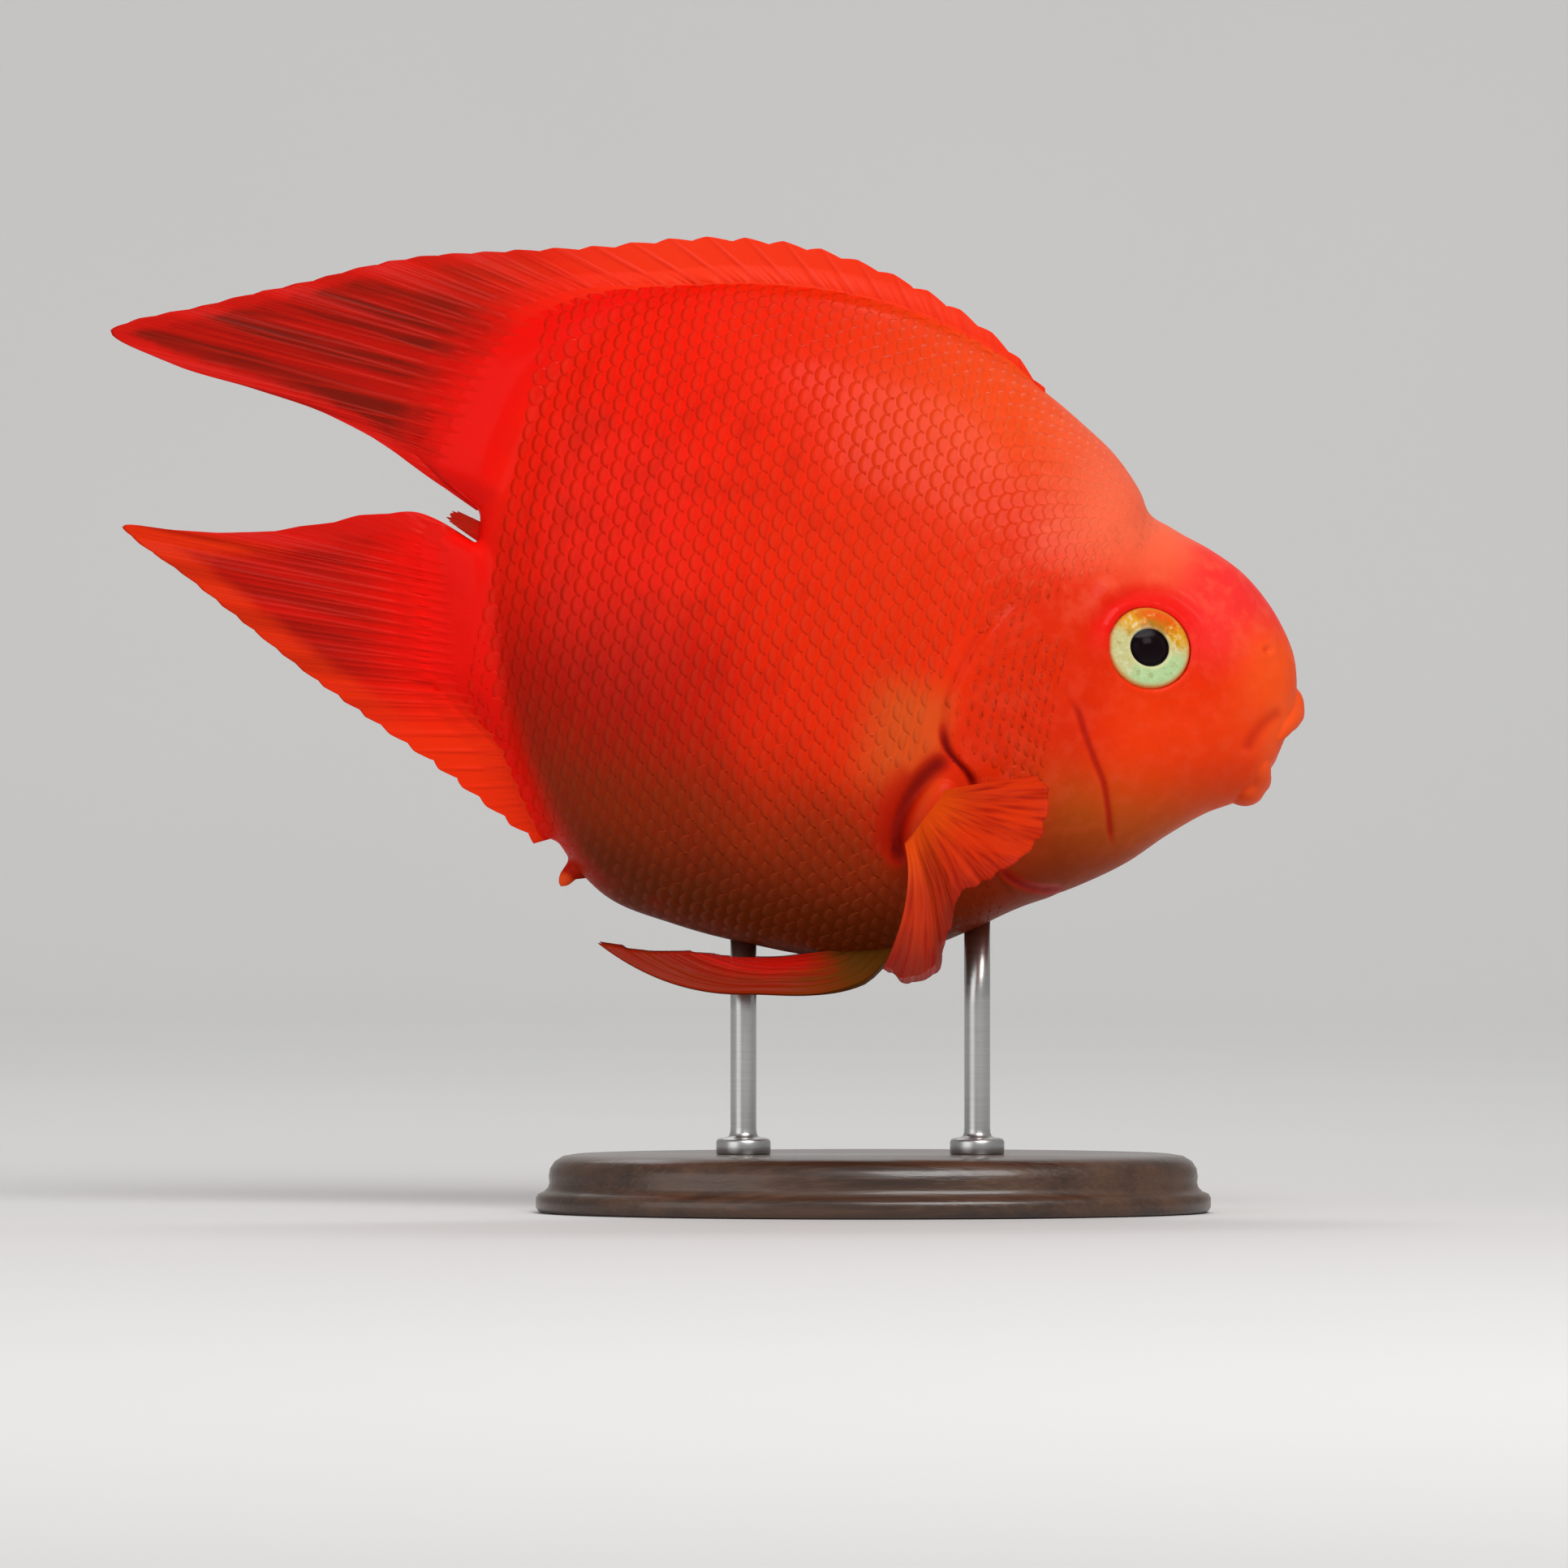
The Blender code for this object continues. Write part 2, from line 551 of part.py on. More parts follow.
def pectoral(name, tree):
    """The right pectoral fin, flared on its fleshy lobe."""
    roots = off_flank(tree, through(PECTORAL_BASE, PECTORAL_RAYS))
    tips = off_flank(tree, through(PECTORAL_MARGIN, PECTORAL_RAYS))
    bow = np.zeros((PECTORAL_RAYS, 3))
    bow[:, 0] = np.linspace(*PECTORAL_BOW_FORWARD, PECTORAL_RAYS)
    bow[:, 1] = -PECTORAL_BOW_OUT
    flesh = thinning(PECTORAL_FLESH, PECTORAL_FLESH_REACH)
    blade = fan(name, roots, tips, bow, flesh, 6, PECTORAL_RIDGE, PECTORAL_NOTCH)
    centre = off_flank(tree, [PECTORAL_LOBE])[0]
    turn = Matrix.Rotation(PECTORAL_LOBE_TURN, 4, "Y")
    lobe = ball(name + "_lobe", centre, PECTORAL_LOBE_RADII, turn, 16, 10)
    apply_boolean(lobe, [blade], "UNION")
    remove(blade)
    return lobe


def under_belly(tree, points):
    """Places on the underside of the belly, from x and y, sunk into the flesh."""
    places = []
    for x, y in points:
        place, _, _, _ = tree.ray_cast(Vector((x, y, -BEYOND)) * MM, Vector((0.0, 0.0, 1.0)))
        places.append(np.array(place) / MM + (0.0, 0.0, PELVIC_SUNK))
    return np.array(places)


def pelvic(name, tree):
    """The right pelvic fin, folded back under the belly."""
    bow = np.zeros((PELVIC_RAYS, 3))
    bow[:, 1] = -np.linspace(*PELVIC_BOW_OUT, PELVIC_RAYS)
    bow[:, 2] = -np.linspace(*PELVIC_BOW_DOWN, PELVIC_RAYS)
    flesh = thinning(PELVIC_FLESH, PELVIC_FLESH_REACH)
    roots, tips = under_belly(tree, through(PELVIC_BASE, PELVIC_RAYS)), through(PELVIC_MARGIN, PELVIC_RAYS)
    return fan(name, roots, tips, bow, flesh, 7, RAY_RIDGE, PELVIC_NOTCH)


def mirrored(thing, name):
    """The same piece on the fish's other side."""
    made = copy_of(thing, name)
    made.data.transform(Matrix.Diagonal((1.0, -1.0, 1.0, 1.0)))
    made.data.flip_normals()
    return made


def lip_ring(front):
    """The line along one lip from corner to corner of the mouth, round its front."""
    corner_x, corner_y, corner_z = LIP_CORNER
    line = []
    for angle in np.linspace(0.0, math.pi, 13):
        bulge = math.sin(angle)
        x = corner_x + (front[0] - corner_x) * bulge ** 0.8
        z = corner_z + (front[1] - corner_z) * bulge ** 0.9
        line.append((x, corner_y * math.cos(angle), z))
    return line


def face_up(normal):
    """A turn whose own Y axis lies along the normal."""
    return Vector(normal).to_track_quat("Y", "Z").to_matrix().to_4x4()


def eye_ball(name, tree, side, grow=0.0):
    """An eyeball sunk in the head, flattened along the way it looks."""
    place, normal = on_flank(tree, *EYE_AT, side)
    centre = place - np.array(normal) * EYE_SUNK
    radii = (EYE_RADIUS + grow, EYE_DEPTH + grow, EYE_RADIUS + grow)
    return ball(name, centre, radii, face_up(normal), 20, 10)


def eye_rim(name, tree, side):
    """The soft ring of skin around an eye."""
    place, normal = on_flank(tree, *EYE_AT, side)
    turn = face_up(normal).to_3x3()
    line = []
    for angle in np.arange(20) * 2 * math.pi / 20:
        out = turn @ Vector((math.cos(angle), 0.0, math.sin(angle))) * SOCKET_RIM
        line.append(place + np.array(out) - np.array(normal) * SOCKET_RIM_SUNK)
    return tube(name, line, SOCKET_RIM_RADIUS, sides=6, closed=True)


def head_region(grow=0.0):
    """The side view of all that lies in front of the gill covers' back edge."""
    outline = [*NAPE_LINE, *through(GILL_EDGE, 24), (BEYOND, GILL_EDGE[-1][1]), (BEYOND, NAPE_LINE[0][1])]
    return grown(outline, grow)


def cover_region(grow=0.0):
    """The side view of a gill cover."""
    outline = [*through(CHEEK_GROOVE, 14), *through(GILL_EDGE, 24)[:0:-1]]
    return grown(outline, grow)


def jaw_region(grow=0.0):
    """The side view of the lower jaw."""
    return grown([*through(JAW_LINE, 14), (BEYOND, JAW_LINE[-1][1]), (BEYOND, JAW_LINE[0][1])], grow)


def make_covers(whole):
    """The two gill covers, cut from the skin of the whole head, and the pockets that they lie in."""
    inner = body_mesh("inner", grow=-COVER_THICKNESS, lifted=True)
    deeper = body_mesh("deeper", grow=-COVER_THICKNESS - GAP, lifted=True)
    covers, pockets = [], []
    for side in (-1, 1):
        reach = sorted((side * THROAT_HALF_WIDTH, side * REACH))
        cover = prism("gill_cover", cover_region(), *reach)
        apply_boolean(cover, [whole], "INTERSECT")
        apply_boolean(cover, [inner], "DIFFERENCE")
        covers.append(cover)
        reach = sorted((side * (THROAT_HALF_WIDTH - GAP), side * REACH))
        pocket = prism("pocket", cover_region(GAP), *reach)
        apply_boolean(pocket, [deeper], "DIFFERENCE")
        pockets.append(pocket)
    remove(inner, deeper)
    return covers, pockets


def head_hollows(tree):
    """The hollows of the mouth, first, and of the eyes and the nostrils."""
    holes = [ball("mouth", MOUTH_CENTRE, MOUTH_RADII, Matrix.Rotation(MOUTH_TILT, 4, "Y"))]
    for side in (-1, 1):
        holes.append(eye_ball("socket", tree, side, GAP))
        place, _ = on_flank(tree, *NOSTRIL_AT, side)
        holes.append(ball("nostril", place, [NOSTRIL_RADIUS] * 3, None, 10, 6))
    return holes


def make_head(tree, finish, fish):
    """The head, its lower jaw and its two gill covers, parted by thin cuts."""
    whole = body_mesh("head_whole", lifted=True)
    head, jaw = copy_of(whole, "head"), copy_of(whole, "lower_jaw")
    covers, pockets = make_covers(whole)
    front = prism("front", head_region(), -REACH, REACH)
    jaw_tool = prism("jaw", jaw_region(), -REACH, REACH)
    jaw_room = prism("jaw_room", jaw_region(GAP), -REACH, REACH)
    rims = [eye_rim("rim", tree, side) for side in (-1, 1)]
    upper_lip = tube("upper_lip", lip_ring(UPPER_LIP_FRONT), UPPER_LIP_RADIUS)
    lower_lip = tube("lower_lip", lip_ring(LOWER_LIP_FRONT), LOWER_LIP_RADIUS)
    hollows = head_hollows(tree)

    apply_boolean(head, [front], "INTERSECT")
    apply_boolean(head, [upper_lip, *rims], "UNION")
    apply_boolean(head, [*pockets, jaw_room, *hollows], "DIFFERENCE")
    apply_boolean(jaw, [lower_lip], "UNION")
    apply_boolean(jaw, [jaw_tool], "INTERSECT")
    apply_boolean(jaw, [hollows[0]], "DIFFERENCE")
    remove(whole, front, jaw_tool, jaw_room, upper_lip, lower_lip, *pockets, *rims, *hollows)
    node(head, "head", finish, fish)
    node(jaw, "lower_jaw", finish, fish)
    for cover, word in zip(covers, ("right", "left")):
        node(cover, "gill_cover_" + word, finish, fish)


def make_body(skin, finish, fish):
    """The trunk behind the head, with the vent's nub, and the stub where the tail would be."""
    tail_cut = [(TAIL_LINE, BEYOND), (TAIL_LINE, -BEYOND), (-BEYOND, -BEYOND), (-BEYOND, BEYOND)]
    behind = prism("behind", tail_cut, -REACH, REACH)
    behind_room = prism("behind_room", grown(tail_cut, GAP), -REACH, REACH)
    front_room = prism("front_room", head_region(GAP), -REACH, REACH)
    stub = copy_of(skin, "tail_stub")
    apply_boolean(stub, [behind], "INTERSECT")
    trunk = copy_of(skin, "trunk")
    vent = ball("vent", at_y([VENT_AT])[0], VENT_RADII, Matrix.Rotation(VENT_LEAN, 4, "Y"), 12, 8)
    apply_boolean(trunk, [vent], "UNION")
    apply_boolean(trunk, [front_room], "DIFFERENCE")
    apply_boolean(trunk, [behind_room], "DIFFERENCE")
    remove(behind, behind_room, front_room, vent)
    node(trunk, "trunk", finish, fish)
    node(stub, "tail_stub", finish, fish)


def fish_rooms():
    """The room that the fish's flesh takes with its gap: the trunk, and the head with its covers."""
    trunk = body_mesh("trunk_room", grow=GAP)
    head = body_mesh("head_room", grow=GAP, lifted=True)
    front = prism("front", head_region(GAP), -REACH, REACH)
    apply_boolean(head, [front], "INTERSECT")
    remove(front)
    return [trunk, head]


def make_fins(tree, finish, fish):
    """All the fins, each cut to sit on the body with a thin gap."""
    fins = {
        "dorsal_fin": median_fin(
            "dorsal", DORSAL_BASE, DORSAL_MARGIN, DORSAL_RAYS, DORSAL_BASE_SHARES, DORSAL_SPINES_END,
            True, DORSAL_SHEATH,
        ),
        "anal_fin": median_fin(
            "anal", ANAL_BASE, ANAL_MARGIN, ANAL_RAYS, ANAL_BASE_SHARES, ANAL_SPINES_END,
            False, ANAL_SHEATH,
        ),
        "tail_fringe": tail_fringe("fringe"),
        "pectoral_fin_right": pectoral("pectoral", tree),
        "pelvic_fin_right": pelvic("pelvic", tree),
    }
    rooms = fish_rooms()
    for name, fin in fins.items():
        for room in rooms:
            apply_boolean(fin, [room], "DIFFERENCE")
        node(fin, name, finish, fish)
    remove(*rooms)
    for name in ("pectoral_fin", "pelvic_fin"):
        node(mirrored(fins[name + "_right"], name), name + "_left", finish, fish)


def oval_base(name):
    """The base, an upright oval disc with rounded edges."""
    mesh = bmesh.new()
    bmesh.ops.create_cone(
        mesh, cap_ends=True, segments=48, radius1=0.5, radius2=0.5, depth=BASE_HEIGHT * MM
    )
    size = Matrix.Diagonal((BASE_LENGTH * MM, BASE_DEPTH * MM, 1.0, 1.0))
    lift = Matrix.Translation((0.0, 0.0, BASE_HEIGHT * MM / 2))
    bmesh.ops.transform(mesh, matrix=lift @ size, verts=mesh.verts)
    base = add_mesh(name, [], [])
    mesh.to_mesh(base.data)
    mesh.free()
    edges = base.modifiers.new("bevel", "BEVEL")
    edges.width, edges.segments = BASE_ROUNDING * MM, 2
    edges.limit_method, edges.angle_limit = "ANGLE", math.radians(60)
    apply_modifiers(base)
    return base


def make_stand(wood, steel, fish):
    """An oval base and two rods that end on the belly."""
    base = oval_base("stand_base")
    rooms = fish_rooms()
    for room in rooms:
        room.matrix_world = fish.matrix_world.copy()
    for x, word in zip(ROD_AT, ("front", "back")):
        hole = rod_piece("hole", x, ROD_FOOT - GAP, ROD_TOP, ROD_RADIUS + GAP)
        apply_boolean(base, [hole], "DIFFERENCE")
        rod = rod_piece("rod", x, ROD_FOOT, ROD_TOP, ROD_RADIUS)
        for room in rooms:
            apply_boolean(rod, [room], "DIFFERENCE")
        keep_lowest(rod)
        above = BASE_HEIGHT + GAP
        collar = rod_piece("collar", x, above, above + COLLAR_HEIGHT, COLLAR_RADIUS)
        apply_boolean(rod, [collar], "UNION")
        remove(hole, collar)
        node(rod, "stand_rod_" + word, steel, None)
    remove(*rooms)
    node(base, "stand_base", wood, None)


def keep_lowest(thing):
    """Keeps what is left of a rod below the fish."""
    mesh = bmesh.new()
    mesh.from_mesh(thing.data)
    low = min(mesh.verts, key=lambda v: v.co.z)
    island, edge = {low}, [low]
    while edge:
        for link in edge.pop().link_edges:
            for other in link.verts:
                if other not in island:
                    island.add(other)
                    edge.append(other)
    bmesh.ops.delete(mesh, geom=[v for v in mesh.verts if v not in island], context="VERTS")
    mesh.to_mesh(thing.data)
    mesh.free()


def rod_piece(name, x, low, high, radius):
    """An upright cylinder on the stand's middle line."""
    mesh = bmesh.new()
    bmesh.ops.create_cone(
        mesh, cap_ends=True, segments=20, radius1=radius * MM, radius2=radius * MM, depth=(high - low) * MM
    )
    place = Matrix.Translation((x * MM, 0.0, (low + high) / 2 * MM))
    bmesh.ops.transform(mesh, matrix=place, verts=mesh.verts)
    made = add_mesh(name, [], [])
    mesh.to_mesh(made.data)
    mesh.free()
    return made


def main():
    """Builds the fish in its own frame, and the stand that holds it."""
    clear_scene()
    skin_finish = material("red_skin", (0.83, 0.10, 0.02), 0.35)
    fin_finish = material("red_fin", (0.72, 0.06, 0.02), 0.4)
    eye_finish = material("eye", (0.80, 0.72, 0.35), 0.1)
    wood = material("dark_wood", (0.06, 0.03, 0.02), 0.4)
    steel = material("steel", (0.62, 0.62, 0.60), 0.3, 1.0)
    fish = bpy.data.objects.new("fish", None)
    bpy.context.scene.collection.objects.link(fish)
    fish.location = Vector((FISH_FORWARD, 0.0, FISH_HEIGHT)) * MM
    fish.rotation_euler = (0.0, NOSE_DOWN, 0.0)
    bpy.context.view_layer.update()

    skin = body_mesh("skin")
    shape = bmesh.new()
    shape.from_mesh(skin.data)
    tree = BVHTree.FromBMesh(shape)
    shape.free()
    make_head(tree, skin_finish, fish)
    make_body(skin, skin_finish, fish)
    remove(skin)
    for side, word in ((-1, "right"), (1, "left")):
        node(eye_ball("eye_" + word, tree, side), "eye_" + word, eye_finish, fish)
    make_fins(tree, fin_finish, fish)
    make_stand(wood, steel, fish)


main()
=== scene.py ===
# %% [markdown]
# A blood parrot cichlid is a round-bodied aquarium fish. This one is the heart-shaped kind, which has
# no tail fin: its back fin and its anal fin run out to two long points instead. It is shown life size,
# nose down as it swims, on a plain stand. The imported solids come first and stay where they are, so that
# every piece made here has its place and its size given.

import math

import bmesh
import bpy
import numpy as np
from mathutils import Matrix, Vector, noise
from mathutils.bvhtree import BVHTree


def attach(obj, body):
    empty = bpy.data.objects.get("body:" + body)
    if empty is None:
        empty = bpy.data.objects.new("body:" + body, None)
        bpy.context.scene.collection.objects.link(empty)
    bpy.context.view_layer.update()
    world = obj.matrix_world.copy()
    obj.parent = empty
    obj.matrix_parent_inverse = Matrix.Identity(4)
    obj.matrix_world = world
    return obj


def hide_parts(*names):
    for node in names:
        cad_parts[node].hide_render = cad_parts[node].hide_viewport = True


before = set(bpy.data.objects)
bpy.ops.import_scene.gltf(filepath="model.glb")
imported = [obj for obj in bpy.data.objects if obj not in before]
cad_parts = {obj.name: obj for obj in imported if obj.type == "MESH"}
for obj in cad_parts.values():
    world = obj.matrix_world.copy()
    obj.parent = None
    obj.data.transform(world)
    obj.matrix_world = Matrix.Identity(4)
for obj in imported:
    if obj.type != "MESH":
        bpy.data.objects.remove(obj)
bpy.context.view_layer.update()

# %% [markdown]
# A fish is easiest to measure level, with its snout forward. So every size of the fish is given in
# millimetres in its own level frame: x towards the snout, y towards its left side, z up, and zero in the
# middle of the body. One matrix then tips that frame nose down and lifts it onto the stand.

# %% The fish's own frame
MM = 0.001
NOSE_DOWN = math.radians(12.0)
FISH_AT = (0.003, 0.0, 0.088)
TO_WORLD = Matrix.Translation(FISH_AT) @ Matrix.Rotation(NOSE_DOWN, 4, "Y") @ Matrix.Scale(MM, 4)


def place(thing):
    """Moves a mesh made in the fish's millimetres to its place on the stand."""
    thing.data.transform(TO_WORLD)
    thing.data.update()
    return thing


# %% [markdown]
# Two helpers draw every curve here. One reads a smooth curve through a few points, so that an outline
# needs only the points that its shape has. The other eases a value in and out, which keeps a crease or a
# bulge from starting with a hard edge.

# %% Curves
def hermite(knots, values, wanted):
    """Smooth values at the wanted places between knots, column by column."""
    slopes = np.gradient(values, knots, axis=0)
    k = np.clip(np.searchsorted(knots, wanted, side="right") - 1, 0, len(knots) - 2)
    step = (knots[k + 1] - knots[k])[:, None]
    t = (wanted[:, None] - knots[k][:, None]) / step
    rise = values[k] * (1 + 2 * t) * (1 - t) ** 2 + values[k + 1] * t * t * (3 - 2 * t)
    return rise + step * (slopes[k] * t * (1 - t) ** 2 - slopes[k + 1] * t * t * (1 - t))


def travelled(points):
    """How far along a line of points each one lies."""
    return np.concatenate([[0.0], np.cumsum(np.linalg.norm(np.diff(points, axis=0), axis=1))])


def through(points, count):
    """So many points evenly along the smooth curve through these ones."""
    values = np.array(points, float)
    knots = travelled(values)
    fine = hermite(knots, values, np.linspace(0.0, knots[-1], 30 * len(points)))
    travel = travelled(fine)
    wanted = np.linspace(0.0, travel[-1], count)
    return np.stack([np.interp(wanted, travel, fine[:, k]) for k in range(fine.shape[1])], axis=1)


def ease(t):
    """0 to 1, flat at both ends."""
    t = np.clip(t, 0.0, 1.0)
    return t * t * (3 - 2 * t)


def unit(vectors):
    """Vectors brought to length one."""
    return vectors / np.maximum(np.linalg.norm(vectors, axis=-1, keepdims=True), 1e-9)


def round_turn(count):
    """So many angles evenly round a circle."""
    return np.arange(count) * 2 * math.pi / count


# %% [markdown]
# The body is a loft: a row of cross-sections from the mouth to the stub of the tail, each with its top,
# its bottom and its half width. A sculpted lump could have the same outline, but a loft keeps both flanks
# alike and gives every spot of the skin an address, how far along and how far round, which the scales
# use later.

# %% The body's stations
STATIONS = [
    ((63.2, 0.4), (61.3, -6.4), 3.2),  # mouth
    ((62.7, 4.2), (60.0, -9.6), 6.0),  # lips
    ((61.2, 9.9), (57.4, -12.8), 8.8),  # snout
    ((57.6, 15.4), (52.8, -15.8), 11.6),  # nostrils
    ((51.4, 20.9), (47.6, -20.4), 14.2),  # forehead
    ((45.0, 23.9), (42.4, -25.8), 16.2),  # front of the eyes
    ((39.0, 25.8), (37.6, -29.6), 17.8),  # eyes
    ((34.6, 27.8), (33.2, -32.6), 19.0),  # dent behind the crown
    ((32.2, 30.8), (30.2, -34.4), 19.8),  # nape
    ((28.4, 34.5), (26.6, -36.8), 20.5),  # hump of the nape
    ((21.4, 39.0), (20.8, -41.2), 21.6),  # gill covers
    ((12.4, 43.6), (12.4, -46.4), 22.6),  # pectoral fins
    ((2.0, 47.6), (2.0, -49.5), 23.2),  # pelvic fins
    ((-11.0, 50.2), (-11.0, -50.2), 23.2),  # deepest
    ((-25.0, 50.2), (-24.0, -49.6), 21.8),  # belly
    ((-38.0, 48.2), (-35.5, -47.4), 19.0),  # vent
    ((-48.4, 44.0), (-44.6, -40.4), 15.2),  # rump
    ((-57.0, 37.4), (-52.4, -30.4), 11.2),  # soft fins
    ((-62.6, 28.6), (-58.4, -19.4), 7.4),  # back edge
    ((-65.6, 16.4), (-62.4, -7.4), 4.6),  # tail stub
    ((-66.4, 7.0), (-65.2, 0.4), 2.6),  # end of the stub
]
WIDEST_LEVEL = (0.42, 0.50)  # share of the depth, at the mouth and at the tail stub
FOREHEAD_FULLNESS, BACK_FULLNESS = 2.35, 1.9  # 2 is an ellipse, less is keeled
THROAT_FULLNESS, BELLY_FULLNESS = 2.0, 2.2
HEAD_SHARE = 0.42
SLICES, AROUND = 300, 220


def body_rows(count):
    """Stations spread evenly: share of the travel, top x and z, bottom x and z, half width."""
    table = np.array([[*top, *bottom, wide] for top, bottom, wide in STATIONS])
    moves = np.abs(np.diff(table, axis=0))
    steps = (np.hypot(moves[:, 0], moves[:, 1]) + np.hypot(moves[:, 2], moves[:, 3])) / 2
    knots = np.concatenate([[0.0], np.cumsum(steps)]) / steps.sum()
    share = np.linspace(0.0, 1.0, count)
    return np.hstack([share[:, None], hermite(knots, table, share)])


def section(row, angles):
    """One cross-section of the body, as points around it from the left flank over the back."""
    share, top, bottom, wide = row[0], row[1:3], row[3:5], row[5]
    level = WIDEST_LEVEL[0] + (WIDEST_LEVEL[1] - WIDEST_LEVEL[0]) * share
    middle = bottom + (top - bottom) * level
    to_body = ease(share / HEAD_SHARE)
    upper = FOREHEAD_FULLNESS + (BACK_FULLNESS - FOREHEAD_FULLNESS) * to_body
    lower = THROAT_FULLNESS + (BELLY_FULLNESS - THROAT_FULLNESS) * to_body
    sine, cosine = np.sin(angles), np.cos(angles)
    power = 2.0 / np.where(sine > 0, upper, lower)
    reach = np.where((sine > 0)[:, None], top - middle, bottom - middle)
    side_view = middle + reach * (np.abs(sine) ** power)[:, None]
    across = wide * np.sign(cosine) * np.abs(cosine) ** power
    return np.stack([side_view[:, 0], across, side_view[:, 1]], axis=1)


BODY_ANGLES = (np.arange(AROUND) + 0.5) * 2 * math.pi / AROUND
BODY = np.array([section(row, BODY_ANGLES) for row in body_rows(SLICES)])
print("body grid:", BODY.shape[:2], "half width in mm:", round(float(BODY[:, :, 1].max()), 1))


# %% [markdown]
# Meshes here come from grids of points. A grid that closes round itself makes a skin or a rod, and a
# sheet with two faces and a rim makes a fin. Both are closed bodies, with no loose faces inside.

# %% From grids of points to meshes
def linked(name, data):
    """An object for a mesh, a light or a camera, put into the scene."""
    made = bpy.data.objects.new(name, data)
    bpy.context.scene.collection.objects.link(made)
    return made


def mesh_object(name, points, faces):
    """A mesh object in the fish's millimetres, with its faces turned outward."""
    mesh = bpy.data.meshes.new(name)
    mesh.from_pydata(np.asarray(points).tolist(), [], [list(face) for face in faces])
    shape = bmesh.new()
    shape.from_mesh(mesh)
    bmesh.ops.recalc_face_normals(shape, faces=shape.faces)
    shape.to_mesh(mesh)
    shape.free()
    mesh.shade_smooth()
    return linked(name, mesh)


def shell(name, grid):
    """A closed skin from rings of points, ended by a fan at each end."""
    rings, around = grid.shape[:2]
    points = np.vstack([grid.reshape(-1, 3), grid[0].mean(axis=0), grid[-1].mean(axis=0)])
    ring = np.arange(rings - 1)[:, None] * around
    here, beside = np.arange(around), (np.arange(around) + 1) % around
    near, next_to = (ring + here).ravel(), (ring + beside).ravel()
    faces = np.stack([near, near + around, next_to + around, next_to], axis=1).tolist()
    last = (rings - 1) * around
    faces += [(rings * around, j, k) for j, k in zip(here, beside)]
    faces += [(rings * around + 1, last + k, last + j) for j, k in zip(here, beside)]
    return mesh_object(name, points, faces)


def ring_tube(name, line, radii, sides=16):
    """A closed ring with a round section, along a line of points, with a radius at each."""
    line = np.asarray(line, float)
    along = unit(np.roll(line, -1, axis=0) - np.roll(line, 1, axis=0))
    outward = line - line.mean(axis=0)
    outward = unit(outward - along * np.sum(outward * along, axis=1, keepdims=True))
    other = np.cross(along, outward)
    cosine, sine = [part(round_turn(sides))[None, :, None] for part in (np.cos, np.sin)]
    ring = outward[:, None] * cosine + other[:, None] * sine
    points = line[:, None] + ring * np.asarray(radii)[:, None, None]
    count = len(line)
    faces = []
    for i in range(count):
        for j in range(sides):
            near, far, k = i * sides, ((i + 1) % count) * sides, (j + 1) % sides
            faces.append((near + j, far + j, far + k, near + k))
    return mesh_object(name, points.reshape(-1, 3), faces)


def built(name, shape):
    """A mesh object from Blender's editing form of a mesh."""
    mesh = bpy.data.meshes.new(name)
    shape.to_mesh(mesh)
    shape.free()
    mesh.shade_smooth()
    return linked(name, mesh)


def ball(name, centre, radii, turn=Matrix()):
    """A closed ellipsoid, turned about its own centre."""
    shape = bmesh.new()
    bmesh.ops.create_uvsphere(shape, u_segments=48, v_segments=24, radius=1.0)
    matrix = Matrix.Translation(Vector(centre)) @ turn @ Matrix.Diagonal((*radii, 1.0))
    bmesh.ops.transform(shape, matrix=matrix, verts=shape.verts)
    return built(name, shape)


def bake_modifiers(thing):
    """Makes the mesh what its modifiers show."""
    bpy.context.view_layer.update()
    seen = thing.evaluated_get(bpy.context.evaluated_depsgraph_get())
    mesh = bpy.data.meshes.new_from_object(seen)
    thing.modifiers.clear()
    thing.data = mesh


def cut(thing, tools):
    """Takes the tools' shapes out of a mesh, and removes them."""
    for tool in tools:
        change = thing.modifiers.new("cut", "BOOLEAN")
        change.operation, change.solver, change.object = "DIFFERENCE", "MANIFOLD", tool
    bake_modifiers(thing)
    for tool in tools:
        bpy.data.objects.remove(tool)


def join(things, name):
    """One mesh object that holds several, overlapping as they are."""
    shape = bmesh.new()
    for thing in things:
        shape.from_mesh(thing.data)
        bpy.data.objects.remove(thing)
    return built(name, shape)


def keep_fact(thing, name, values):
    """A number kept at each of a mesh's points, which a finish can read by its name."""
    made = thing.data.attributes.new(name, "FLOAT", "POINT")
    made.data.foreach_set("value", np.asarray(values, np.float32))


def read_off(items, name, wide, kind):
    """A mesh's own numbers as an array, one row for each item."""
    flat = np.empty(len(items) * wide, kind)
    items.foreach_get(name, flat)
    return flat.reshape(-1, wide)


def points_of(mesh):
    """A mesh's vertices as an array."""
    return read_off(mesh.vertices, "co", 3, np.float32).astype(float)


def move_points(mesh, points):
    """Puts a mesh's vertices elsewhere."""
    mesh.vertices.foreach_set("co", np.asarray(points, np.float32).ravel())
    mesh.update()


def tree_of(mesh):
    """A search tree over a mesh's faces."""
    shape = bmesh.new()
    shape.from_mesh(mesh)
    tree = BVHTree.FromBMesh(shape)
    shape.free()
    return tree


BESIDE = 40.0  # mm from the middle plane, further out than any skin


def from_beside(tree, x, z, side):
    """Where a line from beside the fish meets a surface, at a spot of the side view, and the normal."""
    return tree.ray_cast(Vector((x, side * BESIDE, z)), Vector((0.0, -side, 0.0)))[:2]


